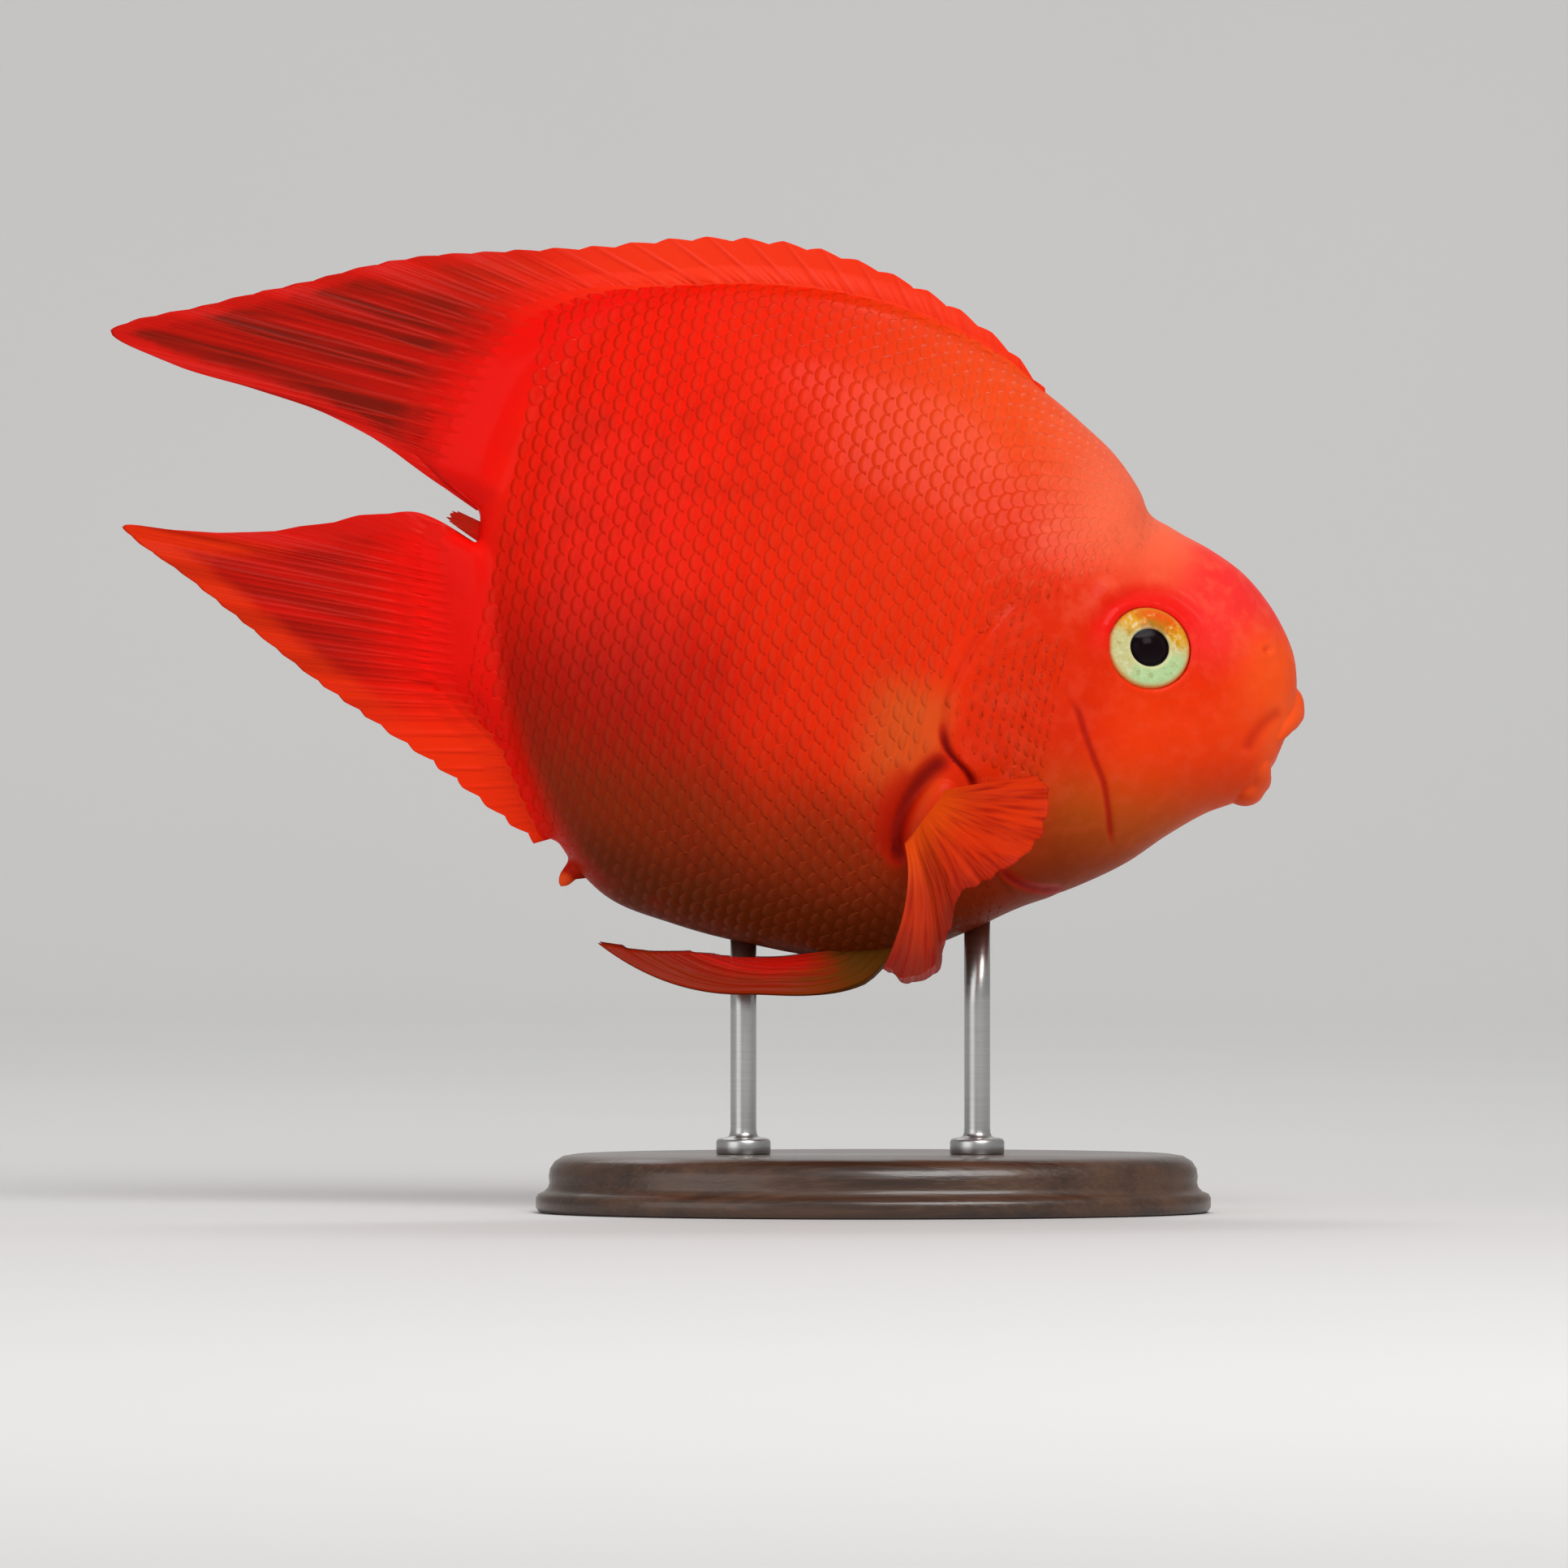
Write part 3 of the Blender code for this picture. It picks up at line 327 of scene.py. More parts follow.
# %% [markdown]
# The two long fins start in the flesh along the back and the belly, and a fleshy sheath runs out along
# their soft rays. Both the sheath, which belongs to the skin, and the fin's own blade are read from the
# same lines here: where each ray is rooted and where its tip lies on the fin's margin.

# %% The long fins' lines
ROOT_SUNK = 3.0
STUB_MIDDLE = ((-65.8, 3.6), (-65.8, 2.4))
FULL_SHEATH_RAY = 20.0
SHEATH_EDGE = 0.38  # half its thickness where it ends
FIN_SWAY = 1.4
LONG_FINS = {
    "dorsal": {
        "upper": True,
        "base": ((17.6, 41.1), (-65.9, 6.4)),
        "rays": (16, 13, 5),  # spines, soft rays to the point, soft rays behind it
        "base_shares": (0.62, 0.88),  # where on the base the spines and the rays to the point end
        "spines_end": 0.41,  # and where on the margin the spines end
        "margin": [
            (14.8, 43.0), (8.4, 47.8), (-0.9, 52.3), (-12.0, 55.4), (-26.0, 56.9), (-41.0, 55.0),
            (-57.0, 50.2), (-72.0, 46.2), (-86.0, 42.0), (-100.0, 35.4), (-114.0, 28.8), (-127.7, 21.4),
            (-116.5, 18.5), (-104.0, 17.5), (-92.3, 16.0), (-82.2, 12.9), (-73.5, 9.0), (-67.0, 6.4),
        ],
        "sheath": ((1.5, 4.0), (4.8, 16.0)),  # half thickness and length, at the spines and soft rays
    },
    "anal": {
        "upper": False,
        "base": ((-44.0, -41.0), (-65.0, -0.6)),
        "rays": (8, 12, 6),
        "base_shares": (0.44, 0.84),
        "spines_end": 0.24,
        "margin": [
            (-47.6, -42.0), (-57.0, -37.4), (-66.1, -33.0), (-75.0, -29.2), (-85.0, -24.8),
            (-97.0, -18.8), (-108.0, -13.2), (-119.6, -7.2), (-111.3, -6.2), (-100.6, -4.2),
            (-91.2, -1.0), (-83.5, 2.2), (-75.4, 4.2), (-70.6, 3.2), (-66.8, 1.4),
        ],
        "sheath": ((1.6, 4.0), (4.4, 14.0)),
    },
}


def edge_between(start, end, count, upper, sunk):
    """Points evenly along the body's top or bottom outline between two places, sunk into the flesh."""
    rows = body_rows(400)
    line = np.vstack([rows[:, 1:3] if upper else rows[:, 3:5], STUB_MIDDLE[0 if upper else 1]])
    first = int(np.argmin(np.linalg.norm(line - np.array(start), axis=1)))
    last = int(np.argmin(np.linalg.norm(line - np.array(end), axis=1)))
    part = through(line[first : last + 1 : 6], count)
    heading = np.gradient(part, axis=0)
    inward = unit(np.stack([heading[:, 1], -heading[:, 0]], axis=1))
    inward *= np.sign(-np.sum(inward * part, axis=1))[:, None]
    return part + inward * sunk


def read_at(points, shares):
    """Rows of a fine line read at shares of its length."""
    travel = np.linspace(0.0, 1.0, len(points))
    return np.stack([np.interp(shares, travel, points[:, k]) for k in range(points.shape[1])], axis=-1)


def long_fin_lines(fin, where):
    """Root and tip of the ray at each number along a long fin, whole numbers being rays.

    Also how far the ray is a soft one, from 0 to 1, and how much of the sheath it has.
    """
    spines, soft, behind = fin["rays"]
    marks = [0, spines - 1, spines + soft - 1, spines + soft + behind - 1]
    on_base = np.interp(where, marks, [0.0, *fin["base_shares"], 1.0])
    edge = through(fin["margin"], 600)
    point = int(np.argmin(edge[:, 0])) / (len(edge) - 1)
    on_margin = np.interp(where, marks, [0.0, fin["spines_end"], point, 1.0])
    base = read_at(edge_between(*fin["base"], 300, fin["upper"], ROOT_SUNK), on_base)
    tips = read_at(edge, on_margin)
    softness = ease((on_base - fin["base_shares"][0] + 0.15) / 0.3)
    sway = FIN_SWAY * np.sin(2 * math.pi * where / marks[-1]) * softness
    roots = np.stack([base[:, 0], np.zeros(len(base)), base[:, 1]], axis=1)
    tips = np.stack([tips[:, 0], sway, tips[:, 1]], axis=1)
    full = ease(np.linalg.norm(tips - roots, axis=1) / FULL_SHEATH_RAY)
    return roots, tips, softness, full


def sheet_faces(columns, rows):
    """The faces of a sheet with two sides and a rim, the second side numbered after the first."""
    index = np.arange(columns * rows).reshape(columns, rows)
    a, b, c, d = index[:-1, :-1], index[1:, :-1], index[1:, 1:], index[:-1, 1:]
    faces = np.stack([a, b, c, d], axis=-1).reshape(-1, 4)
    back = index.size
    rim = np.concatenate([index[:, 0], index[-1, 1:], index[-2::-1, -1], index[0, -2:0:-1]])
    ahead = np.roll(rim, -1)
    band = np.stack([ahead, rim, rim + back, ahead + back], axis=1)
    return np.vstack([faces, faces[:, ::-1] + back, band])


def two_faced(name, left, right, facts=()):
    """A closed sheet from the grids of its two faces, with facts kept at its vertices."""
    points = np.vstack([left.reshape(-1, 3), right.reshape(-1, 3)])
    made = mesh_object(name, points, sheet_faces(*left.shape[:2]))
    for fact, values in dict(facts).items():
        keep_fact(made, fact, np.tile(np.broadcast_to(values, left.shape[:2]).ravel(), 2))
    return made


def sheath(name, fin):
    """The flesh that runs out along a long fin's rays, as a wedge."""
    rays = sum(fin["rays"])
    roots, tips, softness, full = long_fin_lines(fin, np.linspace(0.0, rays - 1, 240))
    (spiny_half, spiny_fade), (soft_half, soft_fade) = fin["sheath"]
    share = softness * full
    half = spiny_half + (soft_half - spiny_half) * share
    fade = spiny_fade + (soft_fade - spiny_fade) * share
    t = np.linspace(0.0, 1.0, 30)
    length = np.linalg.norm(tips - roots, axis=1)
    out = np.minimum(ROOT_SUNK + fade * 0.8, 0.8 * length)
    along = unit(tips - roots)
    core = roots[:, None] + along[:, None] * (out[:, None] * t)[:, :, None]
    travel = out[:, None] * t
    core[:, :, 1] = tips[:, 1][:, None] * travel / length[:, None]
    thick = half[:, None] * (1.0 - ease((travel - ROOT_SUNK) / fade[:, None])) ** 1.5 + SHEATH_EDGE
    side = np.zeros_like(core)
    side[:, :, 1] = thick
    return two_faced(name, core + side, core - side)


# %% [markdown]
# A live fish has one skin, with no seam between head, jaw, gill covers and trunk. So the solids' pieces
# of flesh are replaced by one mesh. The body's loft, the lips, the rims of the eyes, the fleshy roots of
# the fins and the vent's nub are laid into each other and remeshed into a single surface, which blends
# where they meet as flesh does. Wherever that surface lies on the loft, it is put back onto it, so that
# the flanks stay as even as they were drawn.

# %% The head's and belly's forms
LIP_CORNER = (58.6, 6.2, -4.4)
UPPER_LIP_FRONT, UPPER_LIP_RADIUS = (62.4, 1.9), 2.05
LOWER_LIP_FRONT, LOWER_LIP_RADIUS = (59.2, -9.3), 2.35
LIP_CORNER_RADIUS = 1.4
LIP_AT, LIP_RADII, LIP_LEAN = (61.3, 0.0, 2.5), (2.95, 4.3, 3.9), math.radians(-12.0)
CHIN_AT, CHIN_RADII = (57.5, 0.0, -10.7), (3.4, 5.2, 3.0)
MOUTH_CENTRE, MOUTH_RADII, MOUTH_TILT = (62.3, 0.0, -3.2), (6.0, 4.2, 3.2), math.radians(16.0)
EYE_AT = (38.5, 7.0)
EYE_RADIUS, EYE_DEPTH, EYE_SUNK, EYE_LONG = 6.4, 3.7, 1.2, 1.06
SOCKET_RIM, SOCKET_RIM_RADIUS, SOCKET_RIM_SUNK = 7.15, 0.85, 0.55
PECTORAL_LOBE, PECTORAL_LOBE_RADII = (10.9, -0.4, -25.4), (4.3, 3.0, 7.7)
PECTORAL_LOBE_TURN = math.radians(14.0)
VENT_AT, VENT_RADII, VENT_LEAN = (-41.2, -45.2), (1.5, 1.4, 3.0), math.radians(28.0)

body_skin = shell("body_skin", BODY)
body_tree = tree_of(body_skin.data)


def on_flank(x, z, side):
    """The place on one flank at a spot of the side view, and the outward normal."""
    return from_beside(body_tree, x, z, side)


def face_out(normal):
    """A turn whose own Y axis lies along the normal."""
    return Vector(normal).to_track_quat("Y", "Z").to_matrix().to_4x4()


def eye_ball(name, side, grow):
    """The eye's own room in the head."""
    spot, normal = on_flank(*EYE_AT, side)
    radii = (EYE_RADIUS * EYE_LONG + grow, EYE_DEPTH + grow, EYE_RADIUS + grow)
    return ball(name, spot - normal * EYE_SUNK, radii, face_out(normal))


def eye_rim(name, side):
    """The soft ring of skin around an eye."""
    spot, normal = on_flank(*EYE_AT, side)
    turn = face_out(normal).to_3x3()
    line = []
    for angle in round_turn(72):
        out = turn @ Vector((math.cos(angle) * EYE_LONG, 0.0, math.sin(angle))) * SOCKET_RIM
        near, _, _, _ = body_tree.find_nearest(spot + out)
        line.append(near - normal * SOCKET_RIM_SUNK)
    return ring_tube(name, line, [SOCKET_RIM_RADIUS] * len(line))


def lip_ring(name):
    """Both lips as one ring round the open mouth, thick in front and thin at the corners."""
    line, radii = [], []
    for angle in round_turn(96):
        bulge = abs(math.sin(angle))
        upper = math.sin(angle) > 0
        front = UPPER_LIP_FRONT if upper else LOWER_LIP_FRONT
        thick = UPPER_LIP_RADIUS if upper else LOWER_LIP_RADIUS
        x = LIP_CORNER[0] + (front[0] - LIP_CORNER[0]) * bulge ** 0.8
        z = LIP_CORNER[2] + (front[1] - LIP_CORNER[2]) * bulge ** 0.9
        line.append((x, LIP_CORNER[1] * math.cos(angle), z))
        radii.append(LIP_CORNER_RADIUS + (thick - LIP_CORNER_RADIUS) * bulge)
    return ring_tube(name, line, radii)


# %% [markdown]
# The mouth and the sockets are cut out of the loft, and the forms are joined to it as they overlap. A voxel
# remesh then makes one closed skin of them all. Its voxels leave small steps, so the points are drawn
# towards their neighbours and pushed back again, more at the mouth and the fins' roots, where the forms
# should melt into each other, and the flanks are put back onto the loft.

# %% One skin from the forms
VOXEL = 0.42


def fused_skin():
    """The loft and all that grows from it, remeshed into one closed surface."""
    body = body_skin
    tools = [ball("mouth", MOUTH_CENTRE, MOUTH_RADII, Matrix.Rotation(MOUTH_TILT, 4, "Y"))]
    parts = [
        lip_ring("lips"),
        ball("upper_lip", LIP_AT, LIP_RADII, Matrix.Rotation(LIP_LEAN, 4, "Y")),
        ball("chin", CHIN_AT, CHIN_RADII),
        ball("vent", (VENT_AT[0], 0.0, VENT_AT[1]), VENT_RADII, Matrix.Rotation(VENT_LEAN, 4, "Y")),
        sheath("dorsal_sheath", LONG_FINS["dorsal"]),
        sheath("anal_sheath", LONG_FINS["anal"]),
    ]
    for side in (-1, 1):
        tools.append(eye_ball("socket", side, 0.08))
        parts.append(eye_rim("rim", side))
        spot, _ = on_flank(PECTORAL_LOBE[0], PECTORAL_LOBE[2], side)
        centre = spot + Vector((0.0, side * PECTORAL_LOBE[1], 0.0))
        turn = Matrix.Rotation(PECTORAL_LOBE_TURN, 4, "Y")
        parts.append(ball("lobe", centre, PECTORAL_LOBE_RADII, turn))
    cut(body, tools)
    whole = join([body, *parts], "skin")
    remesh = whole.modifiers.new("remesh", "REMESH")
    remesh.mode, remesh.voxel_size, remesh.adaptivity = "VOXEL", VOXEL, 0.0
    bake_modifiers(whole)
    return whole


def smoothed(points, edges, rounds, share=1.0, push=-0.52):
    """Points drawn towards their neighbours and pushed back, which keeps a surface's size."""
    count = np.bincount(edges.ravel(), minlength=len(points))[:, None]
    for weight in (0.5, push) * rounds:
        total = np.zeros_like(points)
        for here, there in ((0, 1), (1, 0)):
            for k in range(3):
                pull = points[edges[:, there], k]
                total[:, k] += np.bincount(edges[:, here], weights=pull, minlength=len(points))
        points = points + weight * share * (total / count - points)
    return points


def put_back(points, near, far, keep):
    """Points near the loft moved onto it, less so further off, and those to keep not at all."""
    moved = points.copy()
    for i in np.nonzero(keep < 0.99)[0]:
        point = points[i]
        spot, _, _, distance = body_tree.find_nearest(Vector(point), far)
        if spot is not None:
            share = float(1.0 - ease((distance - near) / (far - near)))
            moved[i] = point + (np.array(spot) - point) * share * (1.0 - keep[i])
    return moved


skin = fused_skin()
skin_edges = read_off(skin.data.edges, "vertices", 2, np.int32)
skin_points = smoothed(points_of(skin.data), skin_edges, 5)
at_mouth = ease((skin_points[:, 0] - 53.0) / 3.0)
from_lobe = np.hypot(skin_points[:, 0] - PECTORAL_LOBE[0], skin_points[:, 2] - PECTORAL_LOBE[2])
at_lobe = 1.0 - ease((from_lobe - 8.0) / 4.0)
at_fins = ease((11.0 - np.abs(skin_points[:, 1])) / 3.0) * ease((16.0 - skin_points[:, 0]) / 6.0)
at_fins *= ease((skin_points[:, 2] - 24.0) / 6.0) + ease((-38.0 - skin_points[:, 0]) / 6.0)
at_fins = np.minimum(at_fins, 1.0)
skin_points = smoothed(skin_points, skin_edges, 16, np.maximum(at_mouth, at_lobe)[:, None])
skin_points = smoothed(skin_points, skin_edges, 30, at_fins[:, None], -0.10)
skin_points = put_back(skin_points, 0.10, 0.42, at_fins)
move_points(skin.data, skin_points)
print("fused skin:", len(skin_points), "points")

# %% [markdown]
# The skin's relief is drawn in the side view, the way an anatomist draws a fish: the gill cover's hind
# edge that stands proud of the flank, the groove down the cheek, the fold behind the upper lip, the
# circle round the eye. Each is a line with a width and a depth, and every point of the skin moves along
# its own normal by what the lines near it say. The same numbers tell the finish where a crease is, so
# that painted shade can darken its colour there.

# %% The lines of the head
GILL_EDGE = np.array([
    (21.4, 13.5), (15.2, 7.0), (11.8, -1.3), (10.5, -9.3), (12.0, -14.4), (16.6, -18.2), (18.6, -23.6),
    (21.6, -30.6), (26.4, -34.6), (28.5, -40.0),
])
CHEEK_GROOVE = [
    (27.3, -2.9), (29.5, -4.6), (31.4, -7.8), (33.8, -11.6), (35.9, -14.7), (37.4, -18.4),
    (38.8, -22.4), (39.9, -24.6),
]
ROOT_HOLLOW = [(12.8, -15.2), (9.6, -18.2), (7.4, -22.4), (6.6, -27.2), (7.2, -31.4), (8.4, -34.6)]
ROOT_SHADE = [(8.2, -18.6), (5.4, -23.6), (5.2, -29.0), (6.6, -33.4)]
# The last number of each line is how much painted shade darkens the colour in that crease.
CREASES = {  # each line with its half width and depth in mm, and how much it deepens the colour
    "cheek groove": (CHEEK_GROOVE, 0.62, 0.28, 0.55),
    "upper jaw": ([(60.9, 2.3), (59.0, 0.4), (57.6, -1.6), (56.8, -3.6), (56.4, -6.0)], 1.15, 0.28, 0.31),
    "lower jaw": ([(57.0, -7.8), (55.4, -9.8), (54.2, -12.6)], 1.1, 0.14, 0.08),
    "throat fold": ([(22.6, -30.8), (25.6, -32.0), (29.6, -32.6), (34.0, -31.8)], 0.8, 0.40, 0.7),
    "hollow behind the fin's root": (ROOT_HOLLOW, 1.7, 0.65, 0.9),
    "shade behind the hollow": (ROOT_SHADE, 3.4, 0.12, 0.45),
    "nape": ([(35.8, 28.6), (32.6, 24.6), (29.4, 21.6)], 2.2, 0.28, 0.0),
}
GILL_LIFT, GILL_FADE, GILL_STEP = 0.75, 13.0, 1.1
GILL_TRENCH, GILL_TRENCH_WIDTH = 0.40, 0.8
EYE_CIRCLE, EYE_CIRCLE_WIDTH, EYE_CIRCLE_DEPTH = 8.6, 0.9, 0.26
EYE_BROW, EYE_BROW_WIDTH, EYE_BROW_HEIGHT = 10.2, 1.8, 0.22
NOSTRIL_AT, NOSTRIL_RADIUS, NOSTRIL_DEPTH = (56.4, 10.4), 0.42, 0.6
NOSTRIL_RIM, NOSTRIL_RIM_WIDTH, NOSTRIL_RIM_HEIGHT = 1.1, 0.5, 0.16
UNEVEN, UNEVEN_SIZE = 0.14, 9.0


def to_points(x, z, points):
    """How far each spot of the side view lies from a line of points, and how far along it, 0 to 1."""
    best, share = np.full(len(x), 1e9), np.zeros(len(x))
    for i, (start, end) in enumerate(zip(points[:-1], points[1:])):
        run = end - start
        t = np.clip(((x - start[0]) * run[0] + (z - start[1]) * run[1]) / (run @ run), 0.0, 1.0)
        away = np.hypot(x - start[0] - t * run[0], z - start[1] - t * run[1])
        nearer = away < best
        best = np.where(nearer, away, best)
        share = np.where(nearer, (i + t) / (len(points) - 1), share)
    return best, share


def to_line(x, z, line):
    """The same for the smooth curve through a few points."""
    return to_points(x, z, through(line, 40))


def relief(points):
    """How far the skin moves out at each point, and how much painted shade its crease gives it, from 0 to
    1.
    """
    x, z = points[:, 0], points[:, 2]
    out, crease = np.zeros(len(x)), np.zeros(len(x))
    for line, width, depth, dark in CREASES.values():
        away, share = to_line(x, z, line)
        ends = ease(share / 0.15) * ease((1.0 - share) / 0.15)
        dent = np.exp(-((away / width) ** 2)) * (0.15 + 0.85 * ends)
        dent *= away < 4 * width
        out -= depth * dent
        crease = np.maximum(crease, dark * dent)
    edge = through(GILL_EDGE, 60)[::-1]
    ahead = x - np.interp(z, edge[:, 1], edge[:, 0])
    in_height = ease((z + 36.0) / 6.0) * ease((11.0 - z) / 10.0)
    out += GILL_LIFT * ease(1.0 - ahead / GILL_FADE) * ease(ahead / GILL_STEP + 0.5) * in_height
    trench = np.exp(-(((ahead + GILL_TRENCH_WIDTH) / GILL_TRENCH_WIDTH) ** 2)) * in_height
    trench *= 0.25 + 0.75 * ease((-10.0 - z) / 4.0) * ease((z + 21.0) / 3.0)
    out -= GILL_TRENCH * trench
    crease = np.maximum(crease, trench)
    from_eye = np.hypot(x - EYE_AT[0], z - EYE_AT[1])
    circle = np.exp(-(((from_eye - EYE_CIRCLE) / EYE_CIRCLE_WIDTH) ** 2))
    above = ease((z - EYE_AT[1] - 0.35 * (x - EYE_AT[0]) - 1.0) / EYE_RADIUS)
    out -= EYE_CIRCLE_DEPTH * circle * above
    out += EYE_BROW_HEIGHT * np.exp(-(((from_eye - EYE_BROW) / EYE_BROW_WIDTH) ** 2)) * above
    from_nostril = np.hypot(x - NOSTRIL_AT[0], z - NOSTRIL_AT[1])
    pit = np.exp(-((from_nostril / NOSTRIL_RADIUS) ** 2))
    out -= NOSTRIL_DEPTH * pit
    out += NOSTRIL_RIM_HEIGHT * np.exp(-(((from_nostril - NOSTRIL_RIM) / NOSTRIL_RIM_WIDTH) ** 2))
    return out, np.maximum(crease, 0.15 * pit)


def uneven(points):
    """A slow rise and fall of the flesh, the same each run."""
    return np.array([noise.noise(Vector(p) / UNEVEN_SIZE) for p in points])


moved_out, _ = relief(skin_points)
near_fins = np.abs(skin_points[:, 1]) < 2.5
moved_out += UNEVEN * uneven(skin_points) * np.where(near_fins, 0.3, 1.0)
skin_normals = read_off(skin.data.vertex_normals, "vector", 3, np.float32).astype(float)
skin_points = skin_points + skin_normals * moved_out[:, None]
move_points(skin.data, skin_points)
print("deepest crease in mm:", round(float(moved_out.min()), 2))

# %% [markdown]
# The flanks lie under scales and need few triangles, while the head shows bare skin and needs many. A
# Decimate modifier with a vertex group thins only the trunk, which keeps the whole skin light enough.

# %% Thin the trunk, keep the head
SKIN_RATIO = 0.45
HEAD_FROM = 8.0


def thin_trunk(thing):
    """Fewer triangles behind the head."""
    points = points_of(thing.data)
    group = thing.vertex_groups.new(name="trunk")
    behind = ease((HEAD_FROM - points[:, 0]) / 8.0)
    for level in range(1, 11):
        chosen = np.nonzero(np.ceil(behind * 10) == level)[0].tolist()
        if chosen:
            group.add(chosen, level / 10, "REPLACE")
    thin = thing.modifiers.new("thin", "DECIMATE")
    thin.ratio, thin.vertex_group, thin.vertex_group_factor = SKIN_RATIO, group.name, 1.0
    bake_modifiers(thing)
    thing.vertex_groups.clear()


thin_trunk(skin)
skin_points = points_of(skin.data)
# How much painted shade each point gets from its crease, kept for the finish.
_, crease = relief(skin_points)
keep_fact(skin, "crease", crease)
skin.data.shade_smooth()
skin_tree = tree_of(skin.data)
print("skin triangles:", sum(len(face.vertices) - 2 for face in skin.data.polygons))

# %% [markdown]
# Scales lie like tiles: each is rooted in the skin, and its rounded hind edge covers the roots of the
# next ones. A lattice is laid over each flank, columns by their distance along the fish and rows by the
# distance measured round the body from its middle line, so that no scale is stretched where the back and
# belly turn away. Each scale is a thin closed plate, bent to the skin under it. They grow smaller and
# fainter towards the head and out on the fins' flesh, and the snout and forehead have none.

# %% Lay out the scales
SCALE_STEP, SCALE_ROW = 1.85, 2.9
SCALE_LONG, SCALE_WIDE = 1.75, 1.22  # of the step and of the row
SCALE_PROUD, SCALE_SUNK, SCALE_THICK = 0.0145, 1.4, 0.08  # the second is a share of the first
SCALE_ALONG, SCALE_ACROSS = 4, 6
SCALES_FROM, SCALES_TO = 46.0, -62.0
MIDDLE_LEVEL = 2.5
PLAIN_FLANK = 8.0  # beyond this from the middle plane the loft alone gives the flank
FAINTEST = 0.05
PATCH = 0.003  # a scale's side on the unwrap of the skin


def size_at(x):
    """How large the scales are along the fish, 1 on the trunk."""
    return 1.0 - 0.42 * ease((x - 6.0) / 34.0)


def flank_line(x, side):
    """Points down one side at x, from back to belly, and how far each is above the middle line."""
    heights = np.arange(72.0, -78.0, -0.4)
    line = []
    for z in heights:
        spots = [from_beside(tree, x, z, side)[0] for tree in (body_tree, skin_tree)]
        across = [0.0 if spot is None else side * spot.y for spot in spots]
        line.append(across[0] if across[0] > PLAIN_FLANK else max(across))
    line = np.array(line)
    first = last = int(np.argmin(np.abs(heights - MIDDLE_LEVEL)))
    while line[first - 1] > 0.3:
        first -= 1
    while line[last + 1] > 0.3:
        last += 1
    line, heights = line[first : last + 1], heights[first : last + 1]
    points = np.stack([np.full(len(line), x), side * line, heights], axis=1)
    travel = travelled(points)
    return points, np.interp(-MIDDLE_LEVEL, -points[:, 2], travel) - travel


BODY_OUTLINE = np.vstack([body_rows(120)[:, 1:3], body_rows(120)[::-1, 3:5]])


def beyond_rim(x, z):
    """How far each spot of the side view lies outside the body's outline, less than 0 inside it."""
    inside = np.zeros(len(x), bool)
    for (x0, z0), (x1, z1) in zip(BODY_OUTLINE, np.roll(BODY_OUTLINE, -1, axis=0)):
        crosses = (z0 > z) != (z1 > z)
        inside ^= crosses & (x < (x1 - x0) * (z - z0) / (z1 - z0 + 1e-12) + x0)
    away, _ = to_line(x, z, BODY_OUTLINE[::3])
    return np.where(inside, -away, away)


def scaled_share(x, z):
    """How full the scales are at spots of the side view: 1 on the trunk, less elsewhere."""
    edge = through(GILL_EDGE, 60)[::-1]
    ahead = x - np.interp(z, edge[:, 1], edge[:, 0])
    nape = x - np.interp(z, [13.5, 17.6, 23.0, 29.5, 36.0], [21.4, 27.4, 31.6, 33.8, 34.4])
    front = np.where(z < 13.5, ahead, nape)
    from_lobe = np.hypot((x - PECTORAL_LOBE[0] - 0.6) / 6.4, (z - PECTORAL_LOBE[2]) / 9.8)
    trunk = (0.35 + 0.65 * ease((-front - 1.0) / 16.0)) * (from_lobe > 1.0)
    trunk = trunk * ease((9.0 - beyond_rim(x, z)) / 13.0)
    from_eye = np.hypot(x - EYE_AT[0], z - EYE_AT[1])
    crown = 0.35 * (1.0 - ease((front + 1.6) / 8.0)) * (from_eye > 11.5)
    from_groove, _ = to_line(x, z, CREASES["cheek groove"][0])
    bare = (front < 0.9) | (from_groove < 1.2) | (from_eye < 11.0) | (z < -27.0)
    cheek = np.where(bare, 0.0, 0.17 * (1.0 - ease((x - 17.0) / 17.0)) * ease((z + 27.0) / 12.0))
    behind = (front < -1.6) | ((z > 5.0) & (front < 0.0))
    return np.where(behind, trunk, np.where(z > 5.0, crown, cheek))


def scale_roots(side):
    """Each scale's place, fullness, size and lean, and its place on the unwrap of the skin."""
    spots, x, column = [], SCALES_FROM, 0
    while x > SCALES_TO:
        line, up = flank_line(x, side)
        size, shift = size_at(x), 0.5 * (column % 2)
        narrows = (size_at(x + 0.5) - size_at(x - 0.5)) / size
        row = SCALE_ROW * size
        for number in range(math.ceil(up[-1] / row - shift), math.floor(up[0] / row - shift) + 1):
            level = (number + shift) * row
            spot = [np.interp(-level, -up, line[:, k]) for k in range(3)]
            if side * spot[1] > 0.9:
                unwrapped = ((70.0 - x) / 140.0, 0.5 + side * (0.25 + level / 400.0))
                spots.append((*spot, size, -level * narrows, *unwrapped))
        x, column = x - SCALE_STEP * size, column + 1
    spots = np.array(spots)
    full = scaled_share(spots[:, 0], spots[:, 2])
    return [(Vector(s[:3]), f, s[3], s[4], (s[5], s[6])) for s, f in zip(spots, full) if f > FAINTEST]


def scale_shape():
    """A scale lying flat: how far tailward and sideways each point is, and how high, all from 0 to 1."""
    rows = np.linspace(0.0, 1.0, SCALE_ALONG + 1)
    cols = np.linspace(-1.0, 1.0, SCALE_ACROSS + 1)
    i, q = np.meshgrid(rows, cols, indexing="ij")
    reach = 0.58 + 0.42 * np.sqrt(np.maximum(0.0, 1.0 - q * q))
    along = i * reach
    across = q * (0.72 + 0.28 * np.sin(i * math.pi / 2))
    high = i ** 0.75 * (1.0 - 0.30 * q * q)
    return along, across, high


